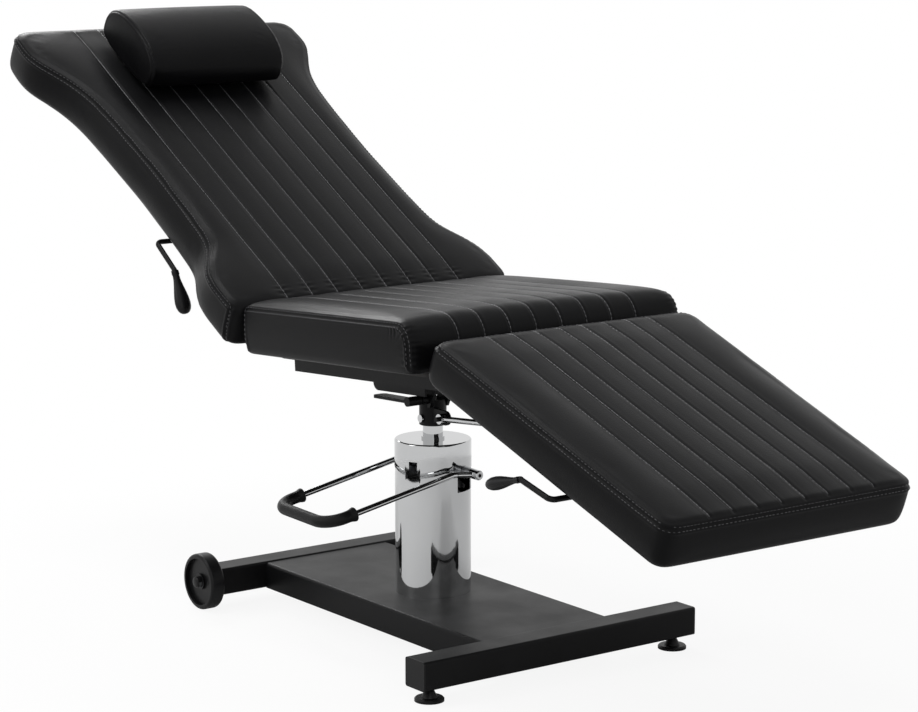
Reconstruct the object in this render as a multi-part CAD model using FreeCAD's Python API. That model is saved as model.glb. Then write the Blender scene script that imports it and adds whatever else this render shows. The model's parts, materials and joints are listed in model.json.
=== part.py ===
import FreeCAD, Part
import math
import os
from FreeCAD import Placement, Rotation, Vector

# Tattoo chair: a folded steel base with two transport wheels and two levelling feet, a hydraulic
# column with a foot lever, and a swivelling three-part bed of channel-stitched cushions.
# Lengths are in millimetres. While it is modelled the column's axis is the Z axis, +X points to the
# foot end, the floor is z = 0 and the right-hand side of a lying person is -Y.

# Clearances and the overrun of cuts
running_gap = 0.05
side_gap = 0.5
seat_gap = 0.3
cut_over = 2.0

# Base
beam_width = 50.0
beam_height = 47.0
beam_wall = 2.5
beam_corner = 4.0
beam_clearance = 23.2
front_beam_x = 331.5
front_beam_length = 551.0
rear_beam_x = -346.0
rear_beam_length = 452.0
cap_thickness = 3.0
cap_plug_depth = 14.0
tray_width = 260.0
tray_sheet = 4.0
tray_below_beam_top = 2.3
tray_fold_radius = 6.0

# Transport wheels
wheel_radius = 48.8
wheel_width = 27.0
wheel_inset = 4.6
wheel_rim_width = 8.0
wheel_web_recess = 7.0
wheel_hub_recess = 3.5
wheel_hub_radius = 14.0
wheel_bush_radius = 9.0
wheel_tread_fillet = 5.0
axle_radius = 6.0
axle_head_radius = 9.5
axle_head_height = 6.0
axle_x = -342.0
axle_inner_length = 30.0

# Levelling feet
foot_y = 247.8
foot_pad_radius = 23.5
foot_pad_height = 6.0
foot_cone_radius = 13.0
foot_cone_height = 11.0
foot_stud_radius = 5.0
foot_stud_top = 62.0
foot_nut_radius = 9.0
foot_nut_height = 6.0

# Hydraulic column
column_radius = 63.9
column_wall = 1.6
column_split_z = 282.0
column_top_z = 330.0
cap_overhang = 0.9
cap_top_thickness = 3.0
cap_edge_radius = 3.0
cap_notch_width = 16.0
cap_notch_height = 18.0
cap_notch_angle = -67.0
window_height = 36.0
window_start_angle = 4.0
window_end_angle = 54.0
flange_radius = 60.0
flange_thickness = 8.0
flange_bolt_circle = 48.0
flange_bolt_radius = 4.0
flange_bolt_head_radius = 6.5
flange_bolt_head_height = 5.0
cylinder_radius = 30.0
cylinder_bore_radius = 22.0
cylinder_end_wall = 6.0
cylinder_top_z = 318.0
gland_depth = 26.0
gland_lip_radius = 19.5
gland_lip_height = 4.0
reservoir_radius = 54.0
reservoir_wall = 2.0
reservoir_top_z = 232.0
rod_radius = 17.0
rod_spigot_radius = 9.0
piston_height = 20.0
piston_rest_z = 94.0
piston_nut_height = 4.0
piston_nut_wall = 2.5

# Foot lever of the pump
lever_yaw = -2.7
lever_slope = 12.0
lever_shaft_y = 22.0
lever_z = 282.0
lever_rod_radius = 5.0
lever_reach = 279.0
lever_knee = 38.0
lever_arm_half = 83.0
lever_boss_half = 95.0
lever_boss_start = 6.0
lever_joggle_end = 28.0
lever_bend_radius = 35.0
boss_radius = 8.5
boss_end = 106.0
boss_socket_radius = 3.6
boss_socket_depth = 5.0
shaft_radius = 8.0
yoke_outer_radius = 48.0
yoke_inner_radius = 39.0
yoke_height = 14.0
grip_radius = 10.0
grip_arm_length = 15.0
plunger_radius = 5.0
plunger_length = 60.0
plunger_sleeve_wall = 3.0

# Socket on the piston rod and the channel above it
socket_radius = 23.0
socket_bottom_z = 354.0
socket_top_z = 398.0
socket_bolt_radius = 4.0
socket_bolt_head = 6.5
socket_bolt_z = 366.0
gusset_outer_y = 20.0
gusset_thickness = 6.0
gusset_back_x = -8.0
gusset_bottom_z = 386.0
gusset_front_low_x = 18.0
gusset_front_mid_x = 27.0
gusset_front_mid_z = 404.0
gusset_front_top_x = 52.0

# Seat section, measured along and square to the seat's own plane, from its rear top edge
seat_angle = 4.0
seat_origin_x = -168.0
seat_origin_z = 562.0
seat_start = 5.0
seat_end = 480.0
seat_thickness = 84.0
seat_half_width = 269.0
seat_front_roll = 38.0
seat_edge_radius = 16.0
seat_corner_radius = 30.0
seat_crown = 7.0
channel_spacing = 50.66
channel_rise = 3.0
seam_drop = 9.0
bottom_inset = 7.0
crown_ramp = 90.0
end_crown_share = 0.2
channel_lines = 8
puff_share = 0.33
end_puff_share = 1.5
board_thickness = 10.0
seat_board_inset = 50.0
seat_board_front_inset = 20.0
board_corner = 20.0
rail_size = 25.0
rail_wall = 2.0
rail_outer_y = 190.0
rail_start = 31.0
rail_end = 458.0
rear_bar_x = 88.0
middle_bar_x = 190.0
front_bar_x = 433.0
channel_half_width = 50.0
channel_sheet = 4.0
channel_depth = 45.0
channel_start = 55.0
channel_end = 204.0
channel_corner = 14.0

# Hinge between the seat and the backrest, and between the seat and the leg rest
lug_thickness = 8.0
lug_eye_radius = 12.0
lug_neck_width = 18.0
lug_foot_length = 64.0
rear_lug_height = 10.0
front_lug_height = 21.0
lug_top_clearance = 1.0
hinge_plate_thickness = 5.0
hinge_pin_radius = 5.0
hinge_head_radius = 8.0
hinge_head_height = 3.0
slot_side_clearance = 2.0
slot_eye_clearance = 3.0
slot_flare = 46.0

# Backrest, measured up along its own plane from where it meets the seat
back_angle = 29.6
back_hinge_s = 18.3
back_hinge_depth = 28.0
back_nose = 30.0
back_length = 850.0
back_thickness = 78.0
back_half_width = 302.0
back_edge_radius = 24.0
back_hip_bottom_radius = 20.0
back_corner_radius = 34.0
back_crown = 6.0
back_board_inset = 42.0
back_board_start = 66.0
back_board_thickness = 12.0
back_rail_size = 18.0
back_rail_start = 45.0
back_rail_end = 600.0
back_bar_first = 60.0
back_bar_middle = 322.0
back_bar_last = 570.0
# Share of the length from the hip end, share of the widest half width, share of the waist's seam inset
back_outline_shares = (
    (0.00, 0.955, 0.0),
    (0.108, 0.958, 0.05),
    (0.150, 0.920, 0.4),
    (0.190, 0.855, 0.9),
    (0.225, 0.828, 1.0),
    (0.308, 0.815, 1.0),
    (0.480, 0.805, 1.0),
    (0.640, 0.822, 1.0),
    (0.730, 0.838, 0.9),
    (0.790, 0.868, 0.6),
    (0.845, 0.925, 0.3),
    (0.885, 0.985, 0.1),
    (0.920, 1.00, 0.0),
    (1.00, 0.985, 0.0),
)
back_seam_inset = 22.0
edge_seam_inset = 4.0

# Leg rest, measured down along its own plane
leg_angle = 19.54
leg_top_s = 520.63
leg_top_depth = 27.78
leg_start = -10.0
leg_length = 572.0
leg_thickness = 75.0
leg_rear_half_width = 257.0
leg_foot_half_width = 243.0
leg_hinge_s = 8.5
leg_hinge_depth = 37.0
leg_top_radius = 20.0
leg_bottom_radius = 24.0
leg_foot_radius = 18.0
leg_corner_radius = 25.0
leg_crown = 5.0
leg_channel_spacing = 45.56
leg_board_inset = 45.0
leg_board_start = 58.0
leg_board_thickness = 12.0
leg_rail_start = 50.0
leg_rail_end = 470.0
leg_bar_first = 110.0
leg_bar_middle = 342.0
leg_bar_last = 450.0

# Pillow, a roll with a flattened lying side
pillow_s = 699.0
pillow_half_length = 140.0
pillow_half_width = 91.0
pillow_half_height = 50.0
pillow_sink = 5.0
pillow_end_radius = 22.0

# Gas springs
spring_cylinder_radius = 10.5
spring_rod_radius = 5.0
spring_eye_radius = 8.5
spring_eye_width = 12.0
spring_pinned_neck = 16.0
spring_free_neck = 26.0
spring_pin_radius = 4.0
spring_cylinder_wall = 1.5
spring_nose_length = 6.0
back_spring_insert_share = 0.546
leg_spring_insert_share = 0.41
spring_fork_plate = 5.0
back_spring_y = 34.0
back_spring_seat_x = 62.0
back_spring_seat_z = 421.0
back_crank_length = 110.0
back_crank_angle = 260.0
back_crank_width = 36.0
back_spring_cylinder_length = 148.0
leg_spring_y = -20.0
leg_spring_seat_x = 52.0
leg_spring_seat_z = 373.0
leg_spring_leg_x = 400.0
leg_spring_leg_z = 407.8
leg_spring_cylinder_length = 168.0
leg_fork_width = 36.0

# Release levers under the backrest and the leg rest
release_rod_radius = 4.5
release_grip_half_width = 11.0
release_grip_half_height = 9.0
release_hub_radius = 5.7
release_waist_gap = 2.0
release_leg_inset = 12.0
release_inner_y = 112.0
release_collar_length = 8.0
release_bend = 10.0
release_handle_run = 74.0
release_handle_drop = 7.0
release_grip_run = 64.0
release_grip_drop = 46.0
release_rod_share = 0.8
back_release_shaft_s = 303.0
back_release_shaft_depth = 96.0
leg_release_shaft_s = 325.0
leg_release_shaft_depth = 94.0

# Swivel lock
lock_x = 12.0
lock_z = 400.0
lock_pin_radius = 4.0
lock_boss_radius = 8.0
lock_boss_y = 34.0
lock_outer_y = 62.0
lock_blade_length = 102.0
lock_blade_width = 26.0
lock_blade_thickness = 5.0
lock_blade_slope = 3.2

# Places worked out from the sizes above
beam_bottom_z = beam_clearance
beam_top_z = beam_bottom_z + beam_height
tray_top_z = beam_top_z - tray_below_beam_top
flange_top_z = tray_top_z + flange_thickness
lug_outer_y = rail_outer_y - rail_size
lug_inner_y = lug_outer_y - lug_thickness
hinge_plate_outer_y = lug_inner_y - side_gap
hinge_plate_inner_y = hinge_plate_outer_y - hinge_plate_thickness
section_rail_outer_y = hinge_plate_inner_y
section_rail_inner_y = section_rail_outer_y - back_rail_size
rail_top_t = -(seat_thickness + board_thickness)
rail_bottom_t = rail_top_t - rail_size
channel_bottom_t = rail_bottom_t - channel_depth
back_rail_top_t = -(back_thickness + back_board_thickness)
leg_rail_top_t = -(leg_thickness + leg_board_thickness)

seat_frame = Placement(Vector(seat_origin_x, 0, seat_origin_z), Rotation(Vector(0, 1, 0), -seat_angle))
back_turn = Rotation(Vector(0, 1, 0), back_angle).multiply(Rotation(Vector(0, 0, 1), 180))
back_frame = Placement(Vector(seat_origin_x, 0, seat_origin_z), back_turn)
leg_origin = seat_frame.multVec(Vector(leg_top_s, 0, -leg_top_depth))
leg_frame = Placement(leg_origin, Rotation(Vector(0, 1, 0), leg_angle))
lever_frame = Placement(Vector(0, lever_shaft_y, lever_z), Rotation(Vector(0, 0, 1), lever_yaw))
column_in_lever = lever_frame.inverse().multVec(Vector(0, 0, lever_z))

back_hinge = back_frame.multVec(Vector(back_hinge_s, 0, -back_hinge_depth))
leg_hinge = leg_frame.multVec(Vector(leg_hinge_s, 0, -leg_hinge_depth))


# Building blocks
def block(x_low, x_high, y_low, y_high, z_low, z_high):
    return Part.makeBox(x_high - x_low, y_high - y_low, z_high - z_low, Vector(x_low, y_low, z_low))


def bar(start, end, radius):
    return Part.makeCylinder(radius, (end - start).Length, start, end - start)


def upright(radius, z_low, z_high, x=0, y=0):
    return Part.makeCylinder(radius, z_high - z_low, Vector(x, y, z_low))


def cross_bar(x, z, radius, y_low, y_high):
    return bar(Vector(x, y_low, z), Vector(x, y_high, z), radius)


def plate(outline, y_low, y_high):
    corners = [Vector(x, y_low, z) for x, z in outline]
    face = Part.Face(Part.makePolygon(corners + corners[:1]))
    return face.extrude(Vector(0, y_high - y_low, 0))


def joined(*shapes):
    return shapes[0].fuse(list(shapes[1:])).removeSplitter()


def placed(shape, frame):
    moved = shape.copy()
    moved.Placement = frame.multiply(moved.Placement)
    return moved


def both_sides(make):
    return [make(-1), make(1)]


straight_share = 0.999


def edges_along(shape, axis):
    found = []
    for edge in shape.Edges:
        run = edge.Vertexes[-1].Point - edge.Vertexes[0].Point
        if run.Length > 0 and abs(run.normalize().dot(axis)) > straight_share:
            found.append(edge)
    return found


def rounded_block(x_low, x_high, y_low, y_high, z_low, z_high, axis, radius):
    box = block(x_low, x_high, y_low, y_high, z_low, z_high)
    return box.makeFillet(radius, edges_along(box, axis))


def square_tube(x_low, x_high, y_low, y_high, z_low, z_high, axis, wall):
    outer = block(x_low, x_high, y_low, y_high, z_low, z_high)
    grow = Vector(wall, wall, wall) - axis * (wall + cut_over)
    inner = block(
        x_low + grow.x, x_high - grow.x, y_low + grow.y, y_high - grow.y, z_low + grow.z, z_high - grow.z
    )
    return outer.cut(inner)


def bent_path(points, bends):
    # Straight runs joined by tangent arcs, one bend radius for each inner point
    edges = []
    last = points[0]
    for index, bend in enumerate(bends):
        corner = points[index + 1]
        back = (points[index] - corner).normalize()
        ahead = (points[index + 2] - corner).normalize()
        half = back.getAngle(ahead) / 2
        middle = (back + ahead).normalize()
        enter = corner + back * (bend / math.tan(half))
        leave = corner + ahead * (bend / math.tan(half))
        apex = corner + middle * (bend / math.sin(half) - bend)
        edges.append(Part.LineSegment(last, enter).toShape())
        edges.append(Part.Arc(enter, apex, leave).toShape())
        last = leave
    edges.append(Part.LineSegment(last, points[-1]).toShape())
    return Part.Wire(edges)


def bent_rod(points, bends, radius):
    path = bent_path(points, bends)
    ring = Part.Wire(Part.makeCircle(radius, points[0], points[1] - points[0]))
    return path.makePipeShell([ring], True, False)


def round_drop(distance, radius):
    # How far a surface has dropped at this distance from an edge rounded to this radius
    if distance >= radius:
        return 0
    return radius - math.sqrt(radius**2 - (radius - distance) ** 2)


# Cushions: a ruled loft through sections, each with drawn-in sides and a row of sewn channels
def cushion_section(x, half_width, bottom, top, seam_inset, crown, rise, drop, spacing):
    lines = [spacing * (step - (channel_lines - 1) / 2) for step in range(channel_lines)]
    seam_y = half_width - seam_inset

    def crown_at(y):
        return top + crown * (1 - (y / half_width) ** 2)

    def spot(y, z):
        return Vector(x, y, z)

    edges = [Part.LineSegment(spot(-half_width + bottom_inset, bottom), spot(half_width - bottom_inset, bottom))]
    middle = (bottom + top - drop) / 2
    edges.append(
        Part.Arc(spot(half_width - bottom_inset, bottom), spot(half_width, middle), spot(seam_y, top - drop))
    )
    stops = [(seam_y, top - drop)] + [(y, crown_at(y)) for y in reversed(lines)] + [(-seam_y, top - drop)]
    for (y_from, z_from), (y_to, z_to) in zip(stops, stops[1:]):
        y_middle = (y_from + y_to) / 2
        lift = rise
        if abs(y_from) == seam_y or abs(y_to) == seam_y:
            lift = rise + drop * puff_share
        z_middle = max((z_from + z_to) / 2, (z_from + z_to) / 2 + lift)
        edges.append(Part.Arc(spot(y_from, z_from), spot(y_middle, z_middle), spot(y_to, z_to)))
    edges.append(
        Part.Arc(spot(-seam_y, top - drop), spot(-half_width, middle), spot(-half_width + bottom_inset, bottom))
    )
    return Part.Wire([edge.toShape() for edge in edges])


end_step_shares = (0.0, 0.04, 0.15, 0.35, 0.65, 1.0)


def end_steps(start, end, start_radius, end_radius):
    # Stations close together over both rounded ends
    near = [start + start_radius * share for share in end_step_shares]
    far = [end - end_radius * share for share in reversed(end_step_shares)]
    return near, far


def cushion(stations, start, end, thickness, rounding, shape):
    # rounding holds the radii of the start's top, start's bottom, end's top, end's bottom and the corners
    start_top, start_bottom, end_top, end_bottom, corner = rounding
    wires = []
    for x in stations:
        top = -round_drop(x - start, start_top) - round_drop(end - x, end_top)
        bottom = -thickness + round_drop(x - start, start_bottom) + round_drop(end - x, end_bottom)
        narrow = round_drop(x - start, corner) + round_drop(end - x, corner)
        # Crown and channels fade where the end rounds over and towards the ends
        share = (top - bottom) / thickness * min(1, end_crown_share + min(x - start, end - x) / crown_ramp)
        half_width, seam_inset = shape["outline"](x)
        wires.append(
            cushion_section(
                x,
                half_width - narrow,
                bottom,
                top,
                seam_inset,
                shape["crown"] * share,
                shape["rise"] * share,
                shape["drop"] * share,
                shape["spacing"],
            )
        )
    return Part.makeLoft(wires, True, True)


def seat_cushion():
    start_steps, front_steps = end_steps(seat_start, seat_end, seat_corner_radius, seat_front_roll)
    middle = (start_steps[-1] + front_steps[0]) / 2
    shape = {
        "outline": lambda x: (seat_half_width, edge_seam_inset),
        "crown": seat_crown,
        "rise": channel_rise,
        "drop": seam_drop,
        "spacing": channel_spacing,
    }
    rounding = (seat_edge_radius, seat_edge_radius, seat_front_roll, seat_edge_radius, seat_corner_radius)
    return cushion(
        start_steps + [middle] + front_steps, seat_start, seat_end, seat_thickness, rounding, shape
    )


def outline_at(table, share):
    for (low, low_width, low_inset), (high, high_width, high_inset) in zip(table, table[1:]):
        if share <= high:
            part = (share - low) / (high - low)
            return low_width + (high_width - low_width) * part, low_inset + (high_inset - low_inset) * part
    return table[-1][1], table[-1][2]


back_start = back_hinge_s - back_nose
back_end = back_start + back_length


def back_outline(s):
    width, inset = outline_at(back_outline_shares, (s - back_start) / back_length)
    return back_half_width * width, edge_seam_inset + (back_seam_inset - edge_seam_inset) * inset


def back_cushion():
    hip_steps, head_steps = end_steps(back_start, back_end, back_corner_radius, back_corner_radius)
    between = [back_start + back_length * row[0] for row in back_outline_shares]
    between = [s for s in between if hip_steps[-1] < s < head_steps[0]]
    shape = {
        "outline": back_outline,
        "crown": back_crown,
        "rise": channel_rise,
        "drop": seam_drop,
        "spacing": channel_spacing,
    }
    rounding = (back_nose, back_hip_bottom_radius, back_edge_radius, back_edge_radius, back_corner_radius)
    solid = cushion(
        hip_steps + between + head_steps, back_start, back_end, back_thickness, rounding, shape
    )
    return slotted(solid, back_hinge_s, back_hinge_depth, back_start, back_thickness)


def leg_outline(s):
    share = (s - leg_start) / leg_length
    return leg_rear_half_width + (leg_foot_half_width - leg_rear_half_width) * share, edge_seam_inset


def leg_cushion():
    leg_end = leg_start + leg_length
    rear_steps, foot_steps = end_steps(leg_start, leg_end, leg_corner_radius, leg_corner_radius)
    middle = (rear_steps[-1] + foot_steps[0]) / 2
    shape = {
        "outline": leg_outline,
        "crown": leg_crown,
        "rise": channel_rise,
        "drop": seam_drop,
        "spacing": leg_channel_spacing,
    }
    rounding = (leg_top_radius, leg_bottom_radius, leg_foot_radius, leg_foot_radius, leg_corner_radius)
    solid = cushion(
        rear_steps + [middle] + foot_steps, leg_start, leg_end, leg_thickness, rounding, shape
    )
    return slotted(solid, leg_hinge_s, leg_hinge_depth, leg_start, leg_thickness)


def slotted(solid, hinge_s, hinge_depth, start, thickness):
    # Slots in the cushion's end for the two hinge ears, open to the end and the underside
    eye = lug_eye_radius + slot_eye_clearance
    below = -thickness - cut_over
    outline = [
        (hinge_s + eye, -hinge_depth),
        (hinge_s + slot_flare, below),
        (start - cut_over, below),
        (start - cut_over, -hinge_depth + lug_neck_width / 2),
        (hinge_s, -hinge_depth + lug_neck_width / 2),
    ]
    low = hinge_plate_inner_y - hinge_head_height - slot_side_clearance
    high = lug_outer_y + slot_side_clearance
    for side in (-1, 1):
        y_low, y_high = sorted((side * low, side * high))
        slot = plate(outline, y_low, y_high).fuse(cross_bar(hinge_s, -hinge_depth, eye, y_low, y_high))
        solid = solid.cut(slot)
    return solid


pillow_base_share = 0.66
pillow_shoulder_share = 0.78
pillow_side_height_share = 0.42
pillow_shoulder_height_share = 0.8


def pillow():
    base = back_crown + channel_rise + seat_gap
    height = 2 * pillow_half_height - pillow_sink - base
    wires = []
    steps, far_steps = end_steps(-pillow_half_length, pillow_half_length, pillow_end_radius, pillow_end_radius)
    for y in steps + far_steps:
        shrink = round_drop(pillow_half_length - abs(y), pillow_end_radius)
        width = pillow_half_width - shrink
        low = base + shrink / 2
        tall = height - shrink * end_puff_share

        def spot(side, up):
            return Vector(pillow_s + width * side, y, low + tall * up)

        base_right = spot(pillow_base_share, 0)
        base_left = spot(-pillow_base_share, 0)
        right = spot(pillow_shoulder_share, pillow_shoulder_height_share)
        left = spot(-pillow_shoulder_share, pillow_shoulder_height_share)
        wires.append(
            Part.Wire(
                [
                    Part.LineSegment(base_left, base_right).toShape(),
                    Part.Arc(base_right, spot(1, pillow_side_height_share), right).toShape(),
                    Part.Arc(right, spot(0, 1), left).toShape(),
                    Part.Arc(left, spot(-1, pillow_side_height_share), base_left).toShape(),
                ]
            )
        )
    return Part.makeLoft(wires, True, True)


# Base
def beam(x_middle, length):
    half = length / 2
    x_low = x_middle - beam_width / 2
    x_high = x_middle + beam_width / 2
    outer = rounded_block(
        x_low, x_high, -half, half, beam_bottom_z, beam_top_z, Vector(0, 1, 0), beam_corner
    )
    inner = block(
        x_low + beam_wall,
        x_high - beam_wall,
        -half - cut_over,
        half + cut_over,
        beam_bottom_z + beam_wall,
        beam_top_z - beam_wall,
    )
    return outer.cut(inner)


def beam_cap(x_middle, length, side):
    # A plastic plug whose flange closes the tube's end
    end = length / 2
    x_low = x_middle - beam_width / 2
    x_high = x_middle + beam_width / 2
    near, far = sorted((side * end, side * (end + cap_thickness)))
    flange = rounded_block(x_low, x_high, near, far, beam_bottom_z, beam_top_z, Vector(0, 1, 0), beam_corner)
    inset = beam_wall + seat_gap
    plug_low, plug_high = sorted((side * (end - cap_plug_depth), side * end))
    plug = block(
        x_low + inset, x_high - inset, plug_low, plug_high, beam_bottom_z + inset, beam_top_z - inset
    )
    return joined(flange, plug)


def front_beam():
    tube = beam(front_beam_x, front_beam_length - 2 * cap_thickness)
    for side in (-1, 1):
        hole = upright(
            foot_stud_radius + running_gap,
            beam_bottom_z - cut_over,
            beam_bottom_z + beam_wall + cut_over,
            front_beam_x,
            side * foot_y,
        )
        tube = tube.cut(hole)
    return tube


def rear_beam():
    return beam(rear_beam_x, rear_beam_length - 2 * cap_thickness)


def beam_caps():
    front_length = front_beam_length - 2 * cap_thickness
    length = rear_beam_length - 2 * cap_thickness

    def rear_cap(side):
        low, high = sorted((side * (length / 2 - axle_inner_length), side * (rear_beam_length / 2 + cut_over)))
        return beam_cap(rear_beam_x, length, side).cut(
            cross_bar(axle_x, wheel_radius, axle_radius + running_gap, low, high)
        )

    front_caps = both_sides(lambda side: beam_cap(front_beam_x, front_length, side))
    return Part.makeCompound(front_caps + both_sides(rear_cap))


def foot_nuts():
    def one(side):
        ring = upright(foot_nut_radius, beam_bottom_z + beam_wall, beam_bottom_z + beam_wall + foot_nut_height,
                       front_beam_x, side * foot_y)
        hole = upright(foot_stud_radius + running_gap, beam_bottom_z, beam_top_z, front_beam_x, side * foot_y)
        return ring.cut(hole)

    return Part.makeCompound(both_sides(one))


def base_tray():
    # A folded sheet, open below, welded between the two beams
    x_low = rear_beam_x + beam_width / 2
    x_high = front_beam_x - beam_width / 2
    half = tray_width / 2
    outer = block(x_low, x_high, -half, half, beam_bottom_z, tray_top_z)
    folds = [edge for edge in edges_along(outer, Vector(1, 0, 0)) if edge.CenterOfMass.z > tray_top_z - tray_sheet]
    outer = outer.makeFillet(tray_fold_radius, folds)
    inner = block(
        x_low - cut_over,
        x_high + cut_over,
        -half + tray_sheet,
        half - tray_sheet,
        beam_bottom_z - cut_over,
        tray_top_z - tray_sheet,
    )
    inner_folds = [edge for edge in edges_along(inner, Vector(1, 0, 0)) if edge.CenterOfMass.z > beam_bottom_z]
    inner = inner.makeFillet(tray_fold_radius - tray_sheet, inner_folds)
    tray = outer.cut(inner)
    for x, y in flange_bolt_places():
        tray = tray.cut(upright(flange_bolt_radius + running_gap, beam_bottom_z, beam_top_z, x, y))
    return tray


# Transport wheels
def wheel_inner_y():
    return rear_beam_length / 2 + wheel_inset


def wheel(side):
    outer_y = wheel_inner_y() + wheel_width
    body = cross_bar(axle_x, wheel_radius, wheel_radius, wheel_inner_y(), outer_y)
    body = body.makeFillet(wheel_tread_fillet, body.Edges[0:1] + body.Edges[2:3])
    rim_inner = wheel_radius - wheel_rim_width
    dish = cross_bar(axle_x, wheel_radius, rim_inner, outer_y - wheel_web_recess, outer_y + cut_over)
    back_dish = cross_bar(
        axle_x, wheel_radius, rim_inner, wheel_inner_y() - cut_over, wheel_inner_y() + wheel_web_recess
    )
    hub = cross_bar(axle_x, wheel_radius, wheel_hub_radius, wheel_inner_y(), outer_y - wheel_hub_recess)
    bore = cross_bar(axle_x, wheel_radius, wheel_bush_radius, wheel_inner_y() - cut_over, outer_y + cut_over)
    body = body.cut(dish).cut(back_dish).fuse(hub).cut(bore).removeSplitter()
    return body if side > 0 else body.mirror(Vector(0, 0, 0), Vector(0, 1, 0))


def wheel_bush(side):
    low = wheel_inner_y()
    high = low + wheel_width - wheel_hub_recess
    body = cross_bar(axle_x, wheel_radius, wheel_bush_radius, low, high)
    body = body.cut(cross_bar(axle_x, wheel_radius, axle_radius + running_gap, low - cut_over, high + cut_over))
    return body if side > 0 else body.mirror(Vector(0, 0, 0), Vector(0, 1, 0))


def wheel_axles():
    def one(side):
        shank_low = rear_beam_length / 2 - axle_inner_length
        head_low = wheel_inner_y() + wheel_width - wheel_hub_recess + side_gap
        collar_low = rear_beam_length / 2
        collar = cross_bar(axle_x, wheel_radius, wheel_bush_radius, collar_low, wheel_inner_y() - side_gap)
        shank = cross_bar(axle_x, wheel_radius, axle_radius, shank_low, head_low)
        head = cross_bar(axle_x, wheel_radius, axle_head_radius, head_low, head_low + axle_head_height)
        bolt = joined(shank, collar, head)
        return bolt if side > 0 else bolt.mirror(Vector(0, 0, 0), Vector(0, 1, 0))

    return Part.makeCompound(both_sides(one))


# Levelling feet
def levelling_foot(side):
    x = front_beam_x
    y = side * foot_y
    pad = upright(foot_pad_radius, 0, foot_pad_height, x, y)
    pad = pad.makeChamfer(foot_pad_height / 3, [pad.Edges[0]])
    cone = Part.makeCone(foot_cone_radius, foot_stud_radius + beam_wall, foot_cone_height, Vector(x, y, foot_pad_height))
    stud = upright(foot_stud_radius, foot_pad_height, foot_stud_top, x, y)
    return joined(pad, cone, stud)


# Hydraulic column
def flange_bolt_places():
    places = []
    for step in range(4):
        angle = math.radians(90 * step + 45)
        places.append((flange_bolt_circle * math.cos(angle), flange_bolt_circle * math.sin(angle)))
    return places


def pump_flange():
    disc = upright(flange_radius, tray_top_z, flange_top_z)
    for x, y in flange_bolt_places():
        disc = disc.cut(upright(flange_bolt_radius + running_gap, beam_bottom_z, flange_top_z + cut_over, x, y))
    return disc


def flange_bolts():
    bolts = []
    head_top = tray_top_z - tray_sheet
    for x, y in flange_bolt_places():
        head = upright(flange_bolt_head_radius, head_top - flange_bolt_head_height, head_top, x, y)
        shank = upright(flange_bolt_radius, head_top, flange_top_z, x, y)
        bolts.append(joined(head, shank))
    return Part.makeCompound(bolts)


def pump_cylinder():
    body = upright(cylinder_radius, flange_top_z, cylinder_top_z)
    bore = upright(cylinder_bore_radius, flange_top_z + cylinder_end_wall, cylinder_top_z + cut_over)
    return body.cut(bore)


def plunger_place():
    radius = (yoke_outer_radius + yoke_inner_radius) / 2
    return lever_frame.multVec(column_in_lever - Vector(0, radius, 0))


def reservoir_tube():
    outer = upright(reservoir_radius, flange_top_z, reservoir_top_z)
    hollow = upright(
        reservoir_radius - reservoir_wall, flange_top_z - cut_over, reservoir_top_z - cylinder_end_wall
    )
    body = outer.cut(hollow).cut(
        upright(cylinder_radius + running_gap, flange_top_z - cut_over, reservoir_top_z + cut_over)
    )
    spot = plunger_place()
    sleeve_radius = plunger_radius + plunger_sleeve_wall
    sleeve_low = reservoir_top_z - plunger_length / 2
    sleeve_high = reservoir_top_z + cylinder_end_wall
    sleeve = upright(sleeve_radius, sleeve_low, sleeve_high, spot.x, spot.y)
    bore = upright(plunger_radius + running_gap, sleeve_low - cut_over, sleeve_high + cut_over, spot.x, spot.y)
    return body.fuse(sleeve).cut(bore).removeSplitter()


def plunger():
    spot = plunger_place()
    top = lever_z - yoke_height / 2 - seat_gap
    pin = upright(plunger_radius, top - plunger_length, top, spot.x, spot.y)
    return pin


def column_sector(start_angle, end_angle, z_low, z_high):
    sector = Part.makeCylinder(
        column_radius + cut_over, z_high - z_low, Vector(0, 0, z_low), Vector(0, 0, 1), end_angle - start_angle
    )
    sector.rotate(Vector(0, 0, 0), Vector(0, 0, 1), start_angle)
    return sector


def shaft_hole():
    hole = bar(
        Vector(-column_radius - cut_over, 0, 0), Vector(column_radius + cut_over, 0, 0), shaft_radius + side_gap
    )
    return placed(hole, lever_frame)


def column_cover():
    tube = upright(column_radius, tray_top_z, column_split_z)
    tube = tube.cut(upright(column_radius - column_wall, tray_top_z - cut_over, column_split_z + cut_over))
    for turn in (0, 180):
        window = column_sector(
            window_start_angle + turn,
            window_end_angle + turn,
            column_split_z - window_height,
            column_split_z + cut_over,
        )
        tube = tube.cut(window)
    return tube.cut(shaft_hole())


def column_cap():
    outer_radius = column_radius + cap_overhang
    body = upright(outer_radius, column_split_z, column_top_z)
    rims = [edge for edge in body.Edges if edge.CenterOfMass.z > column_top_z - cap_top_thickness]
    rims = [edge for edge in rims if edge.Curve.TypeId == "Part::GeomCircle"]
    body = body.makeFillet(cap_edge_radius, rims)
    body = body.cut(
        upright(column_radius - column_wall, column_split_z - cut_over, column_top_z - cap_top_thickness)
    )
    body = body.cut(upright(gland_lip_radius + running_gap, column_split_z, column_top_z + cut_over))
    notch = block(
        column_radius / 2,
        outer_radius + cut_over,
        -cap_notch_width / 2,
        cap_notch_width / 2,
        column_split_z - cut_over,
        column_split_z + cap_notch_height,
    )
    notch.rotate(Vector(0, 0, 0), Vector(0, 0, 1), cap_notch_angle)
    return body.cut(notch).cut(shaft_hole())


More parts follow.
